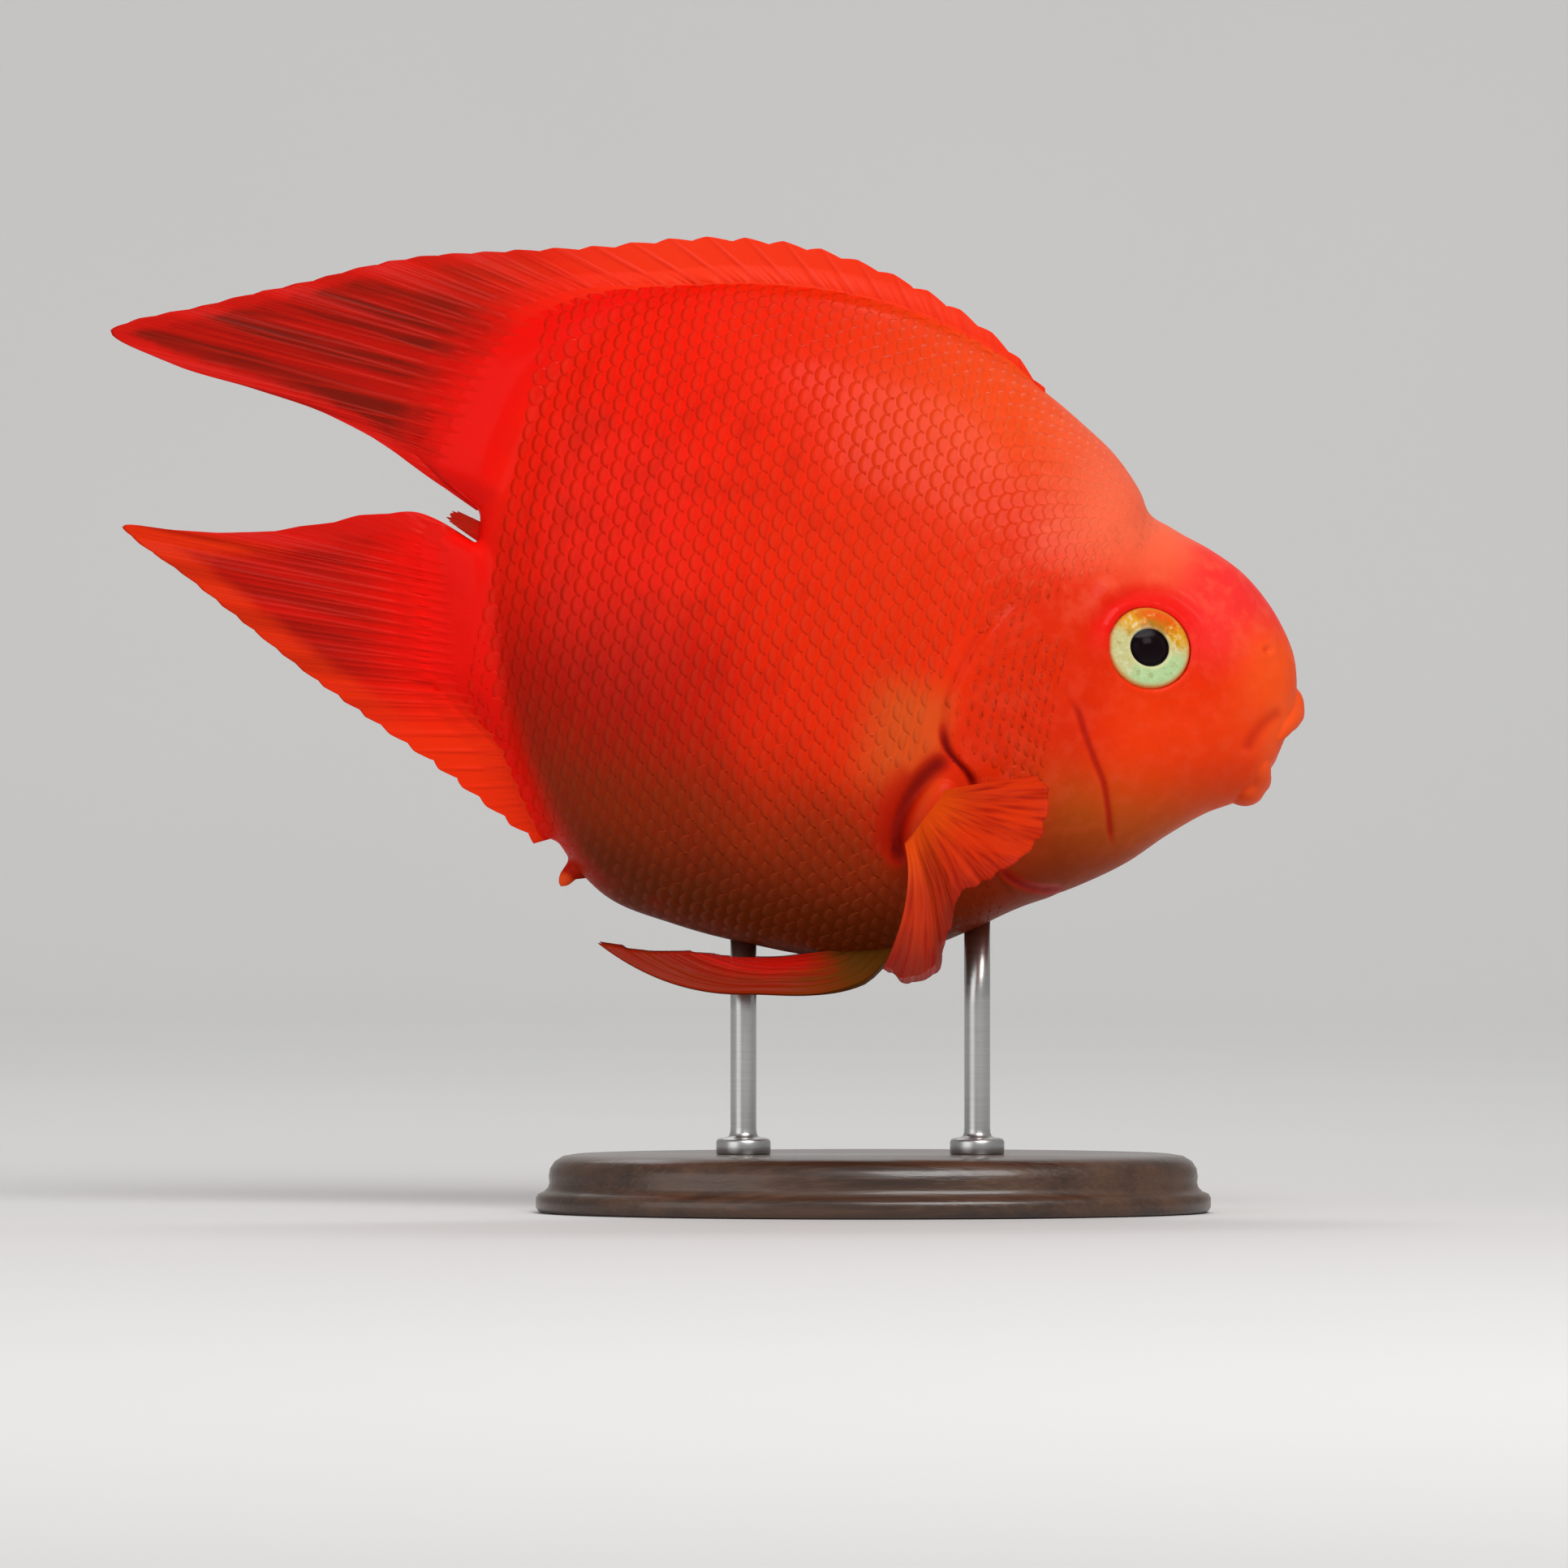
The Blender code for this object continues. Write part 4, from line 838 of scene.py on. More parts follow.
def coat(name, roots, seed):
    """Scales at their roots as one mesh, each with its patch on the unwrap."""
    random = np.random.default_rng(seed)
    along, across, high = scale_shape()
    one = sheet_faces(*along.shape)
    top = SCALE_ALONG * SCALE_ACROSS
    points, faces, patches = [], [], []
    for root, full, size, lean, spot in roots:
        near, normal, _, _ = skin_tree.find_nearest(root)
        tailward = Vector((-1.0, 0.0, lean))
        tailward = (tailward - normal * tailward.dot(normal)).normalized()
        tailward.rotate(Matrix.Rotation(random.uniform(-0.06, 0.06), 3, normal))
        sideways = normal.cross(tailward)
        size = size * (0.88 + 0.12 * min(1.0, 2.0 * full)) * random.uniform(0.95, 1.04)
        long, wide = SCALE_STEP * SCALE_LONG * size, SCALE_ROW * SCALE_WIDE * size / 2
        proud = SCALE_PROUD * full * random.uniform(0.7, 1.2)
        sunk = 0.004 + SCALE_SUNK * proud
        upper, lower = [], []
        for s, w, h in zip(along.ravel(), across.ravel(), high.ravel()):
            guess = near + tailward * ((s - 0.35) * long) + sideways * (w * wide)
            spot_on, outward, _, _ = skin_tree.find_nearest(guess)
            level = -sunk + (sunk + proud) * h
            upper.append(spot_on + outward * level)
            lower.append(spot_on + outward * (level - SCALE_THICK))
        faces.append(one + len(points))
        points += upper + lower
        local = np.stack([along.ravel() - 0.5, across.ravel() / 2], axis=1) * PATCH
        patches.append(np.tile(local + np.array(spot), (2, 1)))
    faces = np.vstack(faces)
    made = mesh_object(name, np.array(points), faces)
    made.data.polygons.foreach_set("use_smooth", np.tile(np.arange(len(one)) < top, len(roots)))
    patches = np.vstack(patches)
    corner = read_off(made.data.loops, "vertex_index", 1, np.int32).ravel()
    layer = made.data.uv_layers.new(name="OFBake")
    layer.data.foreach_set("uv", patches[corner].astype(np.float32).ravel())
    print(name, "scales:", len(roots), "triangles:", 2 * len(faces))
    return made


SIDES = {-1: "right", 1: "left"}
coats = []
for side, word in SIDES.items():
    roots = scale_roots(side)
    half = len(roots) // 2
    coats.append(coat("scales_front_" + word, roots[:half], 11))
    coats.append(coat("scales_back_" + word, roots[half:], 12))


def scale_edges(thing):
    """How near each point is to its scale's free edge, from 0 to 1."""
    high = scale_shape()[2].ravel()
    one = np.concatenate([high, high])
    return np.tile(one, len(thing.data.vertices) // len(one)) ** 2


# %% [markdown]
# A long fin is a sheet of membrane on bony rays. The first ones are stiff, unbranched spines that lean
# back, and the rest are soft rays that fork twice on their way out. The blade is one closed sheet, with
# the rays as ridges in its own surface. Near the body it hugs the fleshy sheath, so that the rays
# show through the flesh as they do on the real fish.

# %% The long fins' blades
MEMBRANE_HALF = 0.13
SPINE_RIDGE, SPINE_WIDTH = 0.36, 0.55
SOFT_RIDGE, SOFT_WIDTH = 0.20, 0.40
COLUMNS_PER_RAY, BLADE_ROWS = 16, 64
NOTCH_SPINY, NOTCH_SOFT, NOTCH_BEHIND = 0.8, 0.25, 0.2
FLESH_PROUD, FLESH_UNDER, FLESH_MOST = 0.14, 0.14, 4.2
FLESH_RUN_OUT = 5.0
RIPPLE = 0.35


def columns_of(rays, per_ray=COLUMNS_PER_RAY):
    """How many columns of points a fin with so many rays has."""
    return (rays - 1) * per_ray + 1


def ridges(where, gauge, t, spiny, shift):
    """How high the rays stand at each column and row, from 0 to 1, and each soft ray forks twice."""
    nearest = np.round(where)
    off = where - nearest
    best = np.zeros_like(gauge)
    width = (SPINE_WIDTH * spiny + SOFT_WIDTH * (1 - spiny))[:, None] * (1.0 - 0.45 * t)
    for first in (-1, 1):
        for second in (-1, 1):
            fork = 0.21 * ease((t - 0.30 - shift[:, None]) / 0.35) * first
            fork = fork + 0.105 * ease((t - 0.62 - shift[:, None]) / 0.3) * second
            fork = fork * (1 - spiny)[:, None]
            away = (off[:, None] - fork) * gauge
            best = np.maximum(best, np.exp(-((away / width) ** 2)))
    return best * (1.0 - 0.55 * t)


def flesh_level(points, side):
    """How far out the skin lies at each side-view spot, on one side of the middle plane."""
    level = np.full(len(points), -1.0)
    for i, (x, _, z) in enumerate(points):
        spot, _ = from_beside(skin_tree, x, z, side)
        if spot is not None:
            level[i] = side * spot[1]
    return level


def run_out(flesh, travel):
    """The flesh's level carried on past the end of the sheath, thinner and thinner."""
    covered = flesh > 0.0
    last = covered.shape[1] - 1 - np.argmax(covered[:, ::-1], axis=1)
    columns = np.arange(len(flesh))
    level = flesh[columns, np.maximum(last - 1, 0)][:, None]
    start = travel[columns, last][:, None]
    beyond = np.arange(covered.shape[1])[None, :] > last[:, None] - 1
    return np.where(beyond, level * (1.0 - ease((travel - start) / FLESH_RUN_OUT)), flesh)


def long_fin(name, fin):
    """A long fin's blade."""
    rays = sum(fin["rays"])
    where = np.linspace(0.0, rays - 1, columns_of(rays))
    roots, tips, softness, full = long_fin_lines(fin, where)
    off = np.abs(where - np.round(where)) * 2
    spiny = 1.0 - softness
    along = unit(tips - roots)
    behind = ease((where - rays + fin["rays"][2] + 1.0) / 2.0)
    back = (NOTCH_SPINY * spiny + NOTCH_SOFT * softness + NOTCH_BEHIND * behind) * off ** 1.3
    jitter = np.random.default_rng(5).uniform(-0.05, 0.05, rays)[np.round(where).astype(int)]
    tips = tips - along * (back + np.abs(jitter) * 6.0 * off)[:, None]
    t = np.linspace(0.0, 1.0, BLADE_ROWS)
    core = roots[:, None] + (tips - roots)[:, None] * t[:, None]
    length = np.linalg.norm(tips - roots, axis=1)[:, None]
    core[:, :, 1] = tips[:, 1][:, None] * t
    core[:, :, 1] += RIPPLE * softness[:, None] * np.sin(where[:, None] * 2.1) * ease((t - 0.3) / 0.7)
    gauge = np.linalg.norm(np.gradient(core, axis=0), axis=2) * COLUMNS_PER_RAY
    ray = ridges(where, gauge, t[None, :] * np.ones_like(gauge), spiny, jitter)
    ridge = (SPINE_RIDGE * spiny + SOFT_RIDGE * softness)[:, None] * ray
    thin = (MEMBRANE_HALF + ridge) * (1.0 - 0.6 * t ** 6)
    faces = []
    travel = t[None, :] * length
    (_, spiny_fade), (_, soft_fade) = fin["sheath"]
    fade = spiny_fade + (soft_fade - spiny_fade) * (softness * full)[:, None]
    late = ease((travel - ROOT_SUNK - 0.25 * fade) / (0.4 * fade))
    for side in (1, -1):
        flesh = flesh_level(core.reshape(-1, 3), side).reshape(thin.shape) - side * core[:, :, 1]
        flesh = run_out(flesh, travel)
        over = np.minimum(flesh, FLESH_MOST) + FLESH_PROUD * ray * late + 0.05 * late
        over -= FLESH_UNDER * (1 - late) * (1 - 0.6 * ray)
        half = np.maximum(thin, np.where(flesh > 0.0, over, 0.0))
        face = core.copy()
        face[:, :, 1] += side * half
        faces.append(face)
    outline = np.vstack([tips, core[-1, ::-1]])[::4, [0, 2]]
    from_rim, _ = to_points(core[:, :, 0].ravel(), core[:, :, 2].ravel(), outline)
    facts = {
        "ray": ray, "out": t, "travel": travel - ROOT_SUNK, "rim": from_rim.reshape(ray.shape),
        "soft": softness[:, None], "behind": behind[:, None], "place": where[:, None],
    }
    made = two_faced(name, faces[0], faces[1], facts)
    print(name, "rays:", rays, "faces:", len(made.data.polygons))
    return made


dorsal_blade = long_fin("dorsal_blade", LONG_FINS["dorsal"])
anal_blade = long_fin("anal_blade", LONG_FINS["anal"])

# %% [markdown]
# The pectoral fins are flared fans on fleshy lobes, and the pelvic fins are folded back under the belly.
# Both are sheets over a fan of rays, as the long fins are, but they bend in space. So their thickness is
# laid off along the sheet's own normals. The left ones mirror the right ones.

# %% The paired fins' lines
PECTORAL_BASE = [(13.2, 1.0, -21.4), (11.2, 1.3, -25.6), (9.0, 1.0, -30.4)]
PECTORAL_MARGIN = [
    (25.6, 9.0, -15.6), (28.0, 12.0, -18.6), (28.0, 14.0, -24.0), (25.2, 14.9, -29.2),
    (21.0, 14.5, -33.0), (18.2, 13.2, -35.6), (17.2, 11.4, -41.4), (16.6, 9.4, -48.6),
    (12.8, 8.4, -50.8), (8.6, 7.4, -49.4),
]
PELVIC_BASE = [(12.0, -5.6), (3.2, -4.6)]
PELVIC_MARGIN = [
    (-34.6, -9.4, -54.8), (-29.4, -8.4, -54.8), (-22.0, -7.2, -53.6), (-11.0, -6.0, -52.2),
]
PELVIC_SUNK = 1.4
PAIRED_ROWS = 44
PECTORAL_FAN = {
    "rays": 15,
    "bow": ((-1.0, -2.4, 0.0), (1.2, -2.4, 0.0)),  # how far the first and the last ray bend
    "early": 0.0,  # how much more they bend near their root
    "first_spine": 0.0,  # 1 where the first ray is a stiff spine
    "ridge": 0.11,  # how far the rays stand out of the membrane
    "notch": 0.4,  # how far the margin is drawn in between the rays
    "ripple": 0.35,
    "flesh": 1.2,  # how thick the flesh over the root is on each side
    "reach": 11.0,  # and how far out it goes
}
PELVIC_FAN = {
    "rays": 6, "bow": ((0.0, -1.6, -8.2), (0.0, -0.4, -0.6)), "early": 0.4, "first_spine": 1.0,
    "ridge": 0.2, "notch": 0.5, "ripple": 0.2, "flesh": 0.9, "reach": 14.0,
}


def fan_blade(name, look, roots, tips):
    """A fan of rays with membrane between, from lines with a point at each column."""
    rays, bow = look["rays"], np.linspace(*look["bow"], len(roots))
    where = np.linspace(0.0, rays - 1, len(roots))
    t = np.linspace(0.0, 1.0, PAIRED_ROWS)
    off = np.abs(where - np.round(where)) * 2
    frayed = np.array([noise.noise(Vector((w * 1.7, 3.0, 0.0))) for w in where]) * look["notch"] * 2.0
    tips = tips - unit(tips - roots) * (look["notch"] * off ** 1.3 + frayed)[:, None]
    bend = 4 * t * (1 - t) + look["early"] * ease(t / 0.12) * ease((0.5 - t) / 0.4)
    core = roots[:, None] + (tips - roots)[:, None] * t[:, None] + bow[:, None] * bend[:, None]
    across, along = np.gradient(core, axis=0), np.gradient(core, axis=1)
    normal = unit(np.cross(across, along))
    per_ray = (len(roots) - 1) / (rays - 1)
    gauge = np.linalg.norm(across, axis=2) * per_ray
    spiny = np.where(where < 0.6, look["first_spine"], 0.0)
    jitter = np.random.default_rng(7).uniform(-0.06, 0.06, rays)[np.round(where).astype(int)]
    ray = ridges(where, gauge, t[None, :] * np.ones_like(gauge), spiny, jitter)
    core += normal * (look["ripple"] * np.sin(where * 2.6)[:, None] * t)[:, :, None]
    length = np.linalg.norm(tips - roots, axis=1)[:, None]
    flesh = look["flesh"] * (1.0 - ease(t * length / look["reach"]))
    half = MEMBRANE_HALF * (1.0 - 0.5 * t ** 4) + look["ridge"] * ray * ease(t / 0.2) + flesh
    facts = {"ray": ray, "out": t, "share": where[:, None] / (rays - 1)}
    side = normal * half[:, :, None]
    made = two_faced(name, core + side, core - side, facts)
    print(name, "faces:", len(made.data.polygons))
    return made


def off_flank(points):
    """Places given as x, how far out from the right flank where the fin is rooted, and z."""
    flank = on_flank(PECTORAL_LOBE[0], PECTORAL_LOBE[2], -1)[0][1]
    points = np.array(points, float)
    points[:, 1] = flank - points[:, 1]
    return points


def pectoral(name):
    """The right pectoral fin."""
    columns = columns_of(PECTORAL_FAN["rays"])
    lines = [off_flank(through(line, columns)) for line in (PECTORAL_BASE, PECTORAL_MARGIN)]
    return fan_blade(name, PECTORAL_FAN, *lines)


def pelvic(name):
    """The right pelvic fin."""
    columns = columns_of(PELVIC_FAN["rays"])
    roots = []
    for x, y in through(PELVIC_BASE, columns):
        spot, _, _, _ = body_tree.ray_cast(Vector((x, y, -90.0)), Vector((0.0, 0.0, 1.0)))
        roots.append(spot + Vector((0.0, 0.0, PELVIC_SUNK)))
    return fan_blade(name, PELVIC_FAN, np.array(roots), through(PELVIC_MARGIN, columns))


def mirrored(thing, name):
    """The same piece on the fish's other side."""
    mesh = thing.data.copy()
    mesh.transform(Matrix.Diagonal((1.0, -1.0, 1.0, 1.0)))
    mesh.flip_normals()
    return linked(name, mesh)


pectoral_right = pectoral("pectoral_blade_right")
pelvic_right = pelvic("pelvic_blade_right")
pectoral_left = mirrored(pectoral_right, "pectoral_blade_left")
pelvic_left = mirrored(pelvic_right, "pelvic_blade_left")

# %% [markdown]
# Where other fish have a tail fin, this one has only a short brown fringe of rays in the gap between the
# two long fins. It is made as one more small fan.

# %% The fringe of the tail
TAIL_BASE = ((-64.6, 4.5), (-64.8, 1.3))
TAIL_MARGIN = [(-69.8, 5.7), (-71.0, 5.0), (-70.9, 4.1), (-69.5, 3.3)]
TAIL_FAN = {
    "rays": 7, "bow": ((0.0, 0.0, 0.0), (0.0, 0.0, 0.0)), "early": 0.0, "first_spine": 0.0,
    "ridge": 0.10, "notch": 0.4, "ripple": 0.0, "flesh": 0.4, "reach": 5.0,
}

tail_columns = columns_of(TAIL_FAN["rays"], 8)
tail_lines = [np.insert(through(line, tail_columns), 1, 0.0, axis=1) for line in (TAIL_BASE, TAIL_MARGIN)]
tail_fringe = fan_blade("tail_rays", TAIL_FAN, *tail_lines)

# %% [markdown]
# A fish's eye is a ball with a flat iris, and its lens stands out through the pupil as a dark bead. So
# the eye is turned on its own axis from a profile, like a piece on a lathe, with the bead in its middle.
# A clear dome lies over it, which gives the depth and the wet highlight that a painted ball lacks.

# %% The eyes
EYE_PROFILE = [  # distance from the axis and height along it, from the lens round to the back
    (0.02, 2.15), (0.7, 2.1), (1.4, 1.92), (2.0, 1.62), (2.45, 1.22), (2.7, 0.9), (2.82, 0.86),
    (2.90, 1.08), (2.98, 1.3), (3.2, 1.4), (4.2, 1.36), (5.2, 1.22), (5.9, 0.98), (6.25, 0.5),
    (6.42, -0.2), (6.0, -1.5), (4.6, -2.6), (2.4, -3.2), (0.05, -3.35),
]
EYE_SPOKES = 128


def turned(name, side, profile, bumps=0.0):
    """A piece turned round the eye's axis, with its distance from the axis as a fact."""
    spot, normal = on_flank(*EYE_AT, side)
    centre = np.array(spot - normal * EYE_SUNK)
    axis = np.array(normal)
    up = unit(np.array([0.0, 0.0, 1.0]) - axis * axis[2])
    forward = np.cross(up, axis) * -side
    rings = through(profile, 70)
    grid = np.zeros((len(rings), EYE_SPOKES, 3))
    reach = np.zeros(grid.shape[:2])
    for i, (out, high) in enumerate(rings):
        for j, angle in enumerate(round_turn(EYE_SPOKES)):
            grain = (math.cos(angle) * 9.0, math.sin(angle) * 9.0, out * 0.8 + side)
            fibre = noise.noise(Vector(grain))
            inside = ease((out - 3.0) / 0.5) * ease((6.0 - out) / 0.6) * (high > 0)
            round_about = forward * math.cos(angle) * EYE_LONG + up * math.sin(angle)
            grid[i, j] = centre + round_about * out + axis * (high + bumps * fibre * inside)
            reach[i, j] = out
    made = shell(name, grid)
    front = np.repeat((rings[:, 1] > -0.2), EYE_SPOKES).astype(float).reshape(grid.shape[:2])
    for fact, values in {"reach": reach, "front": front}.items():
        keep_fact(made, fact, np.concatenate([values.ravel(), values[0, :1], values[-1, :1]]))
    return made


def dome_profile(count):
    """The clear dome's profile, front to back."""
    angles = np.linspace(0.005, math.pi - 0.005, count)
    return [(EYE_RADIUS * 0.995 * math.sin(a), EYE_DEPTH * math.cos(a)) for a in angles]


eyes = {side: turned("eye_ball_" + word, side, EYE_PROFILE, 0.07) for side, word in SIDES.items()}
domes = {side: turned("eye_dome_" + word, side, dome_profile(40)) for side, word in SIDES.items()}
print("eye at, in mm:", [round(v, 1) for v in on_flank(*EYE_AT, -1)[0]])

# %% [markdown]
# The stand is a turned oval of dark wood with a small moulding, and two steel rods in collars. Their tops
# are shaped to the belly: each point of a rod's top edge is raised until it meets the skin above it.

# %% The stand
BASE_LENGTH, BASE_DEPTH = 104.0, 68.0
BASE_PROFILE = [  # how far in from the oval's edge, and how high
    (51.9, 0.0), (1.0, 0.0), (0.35, 0.3), (0.0, 0.9), (0.0, 2.3), (0.35, 2.9), (1.3, 3.3), (1.9, 3.9),
    (2.1, 4.6), (2.0, 5.6), (2.2, 6.8), (2.9, 7.9), (4.2, 8.7), (6.0, 9.0), (30.0, 9.0), (51.9, 9.0),
]
BASE_SPOKES, ROD_SPOKES = 160, 40
ROD_AT, ROD_INTO_SKIN = (16.0, -20.0), 0.15
COLLAR_PROFILE = [  # radius and height
    (2.0, 4.0), (2.0, 8.6), (4.0, 8.9), (4.2, 9.2), (4.2, 10.9), (4.0, 11.3), (3.5, 11.5), (2.6, 11.6),
    (2.25, 11.8), (2.05, 12.3), (2.0, 13.0), (2.0, 20.0),
]


def oval(x, half_x, half_y, high, count):
    """A level ring of points round a place on the middle line."""
    angles = round_turn(count)
    return np.stack([x + half_x * np.cos(angles), half_y * np.sin(angles), np.full(count, high)], axis=1)


def base_block():
    """The oval base."""
    rings = []
    for inset, high in BASE_PROFILE:
        half_x = max(BASE_LENGTH / 2 - inset, 0.05)
        half_y = max(BASE_DEPTH / 2 - inset, 0.03)
        rings.append(oval(0.0, half_x, half_y, high, BASE_SPOKES))
    return shell("wood_base", np.array(rings))


def rod(name, x):
    """One rod with its collar, its top edge shaped to the belly."""
    rings = [oval(x, radius, radius, high, ROD_SPOKES) for radius, high in COLLAR_PROFILE]
    into_fish = TO_WORLD.inverted()
    top = rings[-1].copy()
    for i, point in enumerate(top):
        start = into_fish @ (Vector(point) * MM)
        upward = (into_fish.to_3x3() @ Vector((0.0, 0.0, 1.0))).normalized()
        spot, _, _, _ = skin_tree.ray_cast(start, upward)
        top[i, 2] = (TO_WORLD @ spot).z / MM + ROD_INTO_SKIN
    rings.append((rings[-1] + top) / 2)
    rings.append(top)
    return shell(name, np.array(rings))


stand = {"stand_base": base_block()}
for x, word in zip(ROD_AT, ("front", "back")):
    stand["stand_rod_" + word] = rod("steel_rod_" + word, x)
for thing in stand.values():
    thing.data.transform(Matrix.Scale(MM, 4))
    print(thing.name, "height in mm:", round(max(v.co.z for v in thing.data.vertices) / MM, 1))

# %% [markdown]
# Finishes are node trees, and laying nodes by hand is slow to read. One small class wraps a socket, so
# that a sum such as `1 - mask` adds its own Math nodes. Another wraps a material, and lays any other node
# from its type, its settings and its sockets.

# %% Helpers for finishes
class Wire:
    """A socket that Python's own sums work on."""

    def __init__(self, finish, socket):
        self.finish, self.socket = finish, socket

    def sums(self, operation, first, second):
        return self.finish.node("ShaderNodeMath", {"operation": operation}, {0: first, 1: second})

    def __add__(self, other):
        return self.sums("ADD", self, other)

    __radd__ = __add__

    def __sub__(self, other):
        return self.sums("SUBTRACT", self, other)

    def __rsub__(self, other):
        return self.sums("SUBTRACT", other, self)

    def __mul__(self, other):
        return self.sums("MULTIPLY", self, other)

    __rmul__ = __mul__

    def __truediv__(self, other):
        return self.sums("DIVIDE", self, other)

    def __pow__(self, other):
        return self.sums("POWER", self, other)

    def rise(self, low, high):
        """0 below low, 1 above high and eased between, or the other way round if low is larger."""
        settings = {"interpolation_type": "SMOOTHSTEP"}
        return self.finish.node("ShaderNodeMapRange", settings, {0: self, 1: low, 2: high})


class Finish:
    """A material that is laid node by node."""

    def __init__(self, name):
        self.material = bpy.data.materials.new(name)
        self.material.use_nodes = True
        self.tree = self.material.node_tree
        self.tree.nodes.clear()

    def node(self, kind, settings=(), sockets=(), output=0):
        """A node, its settings made first, then its sockets set or linked. Gives one output."""
        made = self.tree.nodes.new(kind)
        for name, value in dict(settings).items():
            setattr(made, name, value)
        for key, value in dict(sockets).items():
            if isinstance(value, Wire):
                self.tree.links.new(value.socket, made.inputs[key])
            else:
                made.inputs[key].default_value = value
        return Wire(self, made.outputs[output]) if made.outputs else made

    def mix(self, share, first, second):
        """A colour between two colours."""
        first, second = [(*c, 1.0) if isinstance(c, tuple) else c for c in (first, second)]
        settings = {"data_type": "RGBA", "clamp_factor": True}
        return self.node("ShaderNodeMix", settings, {0: share, 6: first, 7: second}, 2)

    def fact(self, name):
        """A value kept at the mesh's points."""
        return self.node("ShaderNodeAttribute", {"attribute_name": name}, {}, "Fac")

    def here(self):
        """The place in the fish's own frame, in mm."""
        spot = self.node("ShaderNodeTexCoord", {}, {}, "Object")
        turn = (0.0, NOSE_DOWN, 0.0)
        sockets = {"Vector": spot, "Location": FISH_AT, "Rotation": turn, "Scale": (MM, MM, MM)}
        return self.node("ShaderNodeMapping", {"vector_type": "TEXTURE"}, sockets)

    def parts(self, vector):
        """A vector's x, y and z."""
        made = self.node("ShaderNodeSeparateXYZ", {}, {0: vector}).socket.node
        return [Wire(self, socket) for socket in made.outputs]

    def stretch(self, vector, by):
        """A vector with its x, y and z made larger or smaller."""
        return self.node("ShaderNodeVectorMath", {"operation": "MULTIPLY"}, {0: vector, 1: by})

    def clouds(self, vector, size, detail=3.0, roughness=0.55):
        """Soft noise with clouds of about this size, in the vector's units."""
        sockets = {"Vector": vector, "Scale": 1.0 / size, "Detail": detail, "Roughness": roughness}
        return self.node("ShaderNodeTexNoise", {}, sockets)

    def bump(self, height, distance, strength):
        """A normal from a height."""
        sockets = {"Height": height, "Distance": distance, "Strength": strength}
        return self.node("ShaderNodeBump", {}, sockets)

    def shine(self, **sockets):
        """The Principled shader, with its sockets named in words."""
        named = {}
        for word, value in sockets.items():
            key = word.replace("_", " ").title().replace("Ior", "IOR")
            colour = isinstance(value, tuple) and key.endswith("Color")
            named[key] = (*value, 1.0) if colour else value
        return self.node("ShaderNodeBsdfPrincipled", {"subsurface_method": "RANDOM_WALK"}, named)

    def end(self, shader):
        """Ends the tree, and gives the material."""
        self.node("ShaderNodeOutputMaterial", {}, {"Surface": shader})
        return self.material

# %% [markdown]
# The fish's red is not one red. The forehead and nape are salmon pink, the flank orange red, the back
# part and the fins' sheaths a pure deep red, and the cheek and belly go through orange to an olive
# brown. The low rear, the low flank and the belly are also darkened with painted shade, as if lit from
# above. Each of these is a soft area in the fish's own frame, laid over the last, and the creases are
# darkened with painted shade. The skin and its scales share this one finish, so that the markings run
# on over both.

# %% The skin's finish
FLANK_RED, REAR_RED, SHEATH_RED = (0.80, 0.024, 0.001), (0.90, 0.009, 0.001), (0.84, 0.004, 0.001)
# The low rear's colour is painted shade.
REAR_SHADE = (0.34, 0.005, 0.001)
BACK_ORANGE, SNOUT_ORANGE, CHEEK_ORANGE = (0.93, 0.085, 0.012), (0.93, 0.085, 0.010), (0.86, 0.042, 0.001)
NAPE_PINK, FOREHEAD_PINK = (0.94, 0.135, 0.058), (0.93, 0.032, 0.028)
COVER_RED, JOWL_OLIVE = (0.70, 0.022, 0.001), (0.50, 0.090, 0.006)
# The low flank's and belly's colours are their own olive brown, darkened with painted shade.
SHADED_BELLY_OCHRE, SHADED_BELLY_BROWN = (0.22, 0.022, 0.002), (0.095, 0.015, 0.001)
SCALE_EDGE_PALE, POOL_DARK = (0.95, 0.15, 0.05), (0.25, 0.01, 0.002)
# The first two are painted shade for the creases, a red one and a darker one.
CREASE_SHADE_RED, CREASE_SHADE_DARK, MOTTLE_RED = (0.50, 0.008, 0.001), (0.19, 0.002, 0.001), (0.30, 0.006, 0.001)
LIP_SALMON, BROW_CRIMSON, FLANK_PATCH = (0.93, 0.095, 0.014), (0.86, 0.006, 0.005), (0.66, 0.11, 0.014)
UNDER_SKIN = {"subsurface_radius": (1.0, 0.12, 0.04), "subsurface_scale": 0.0012}  # red goes deepest


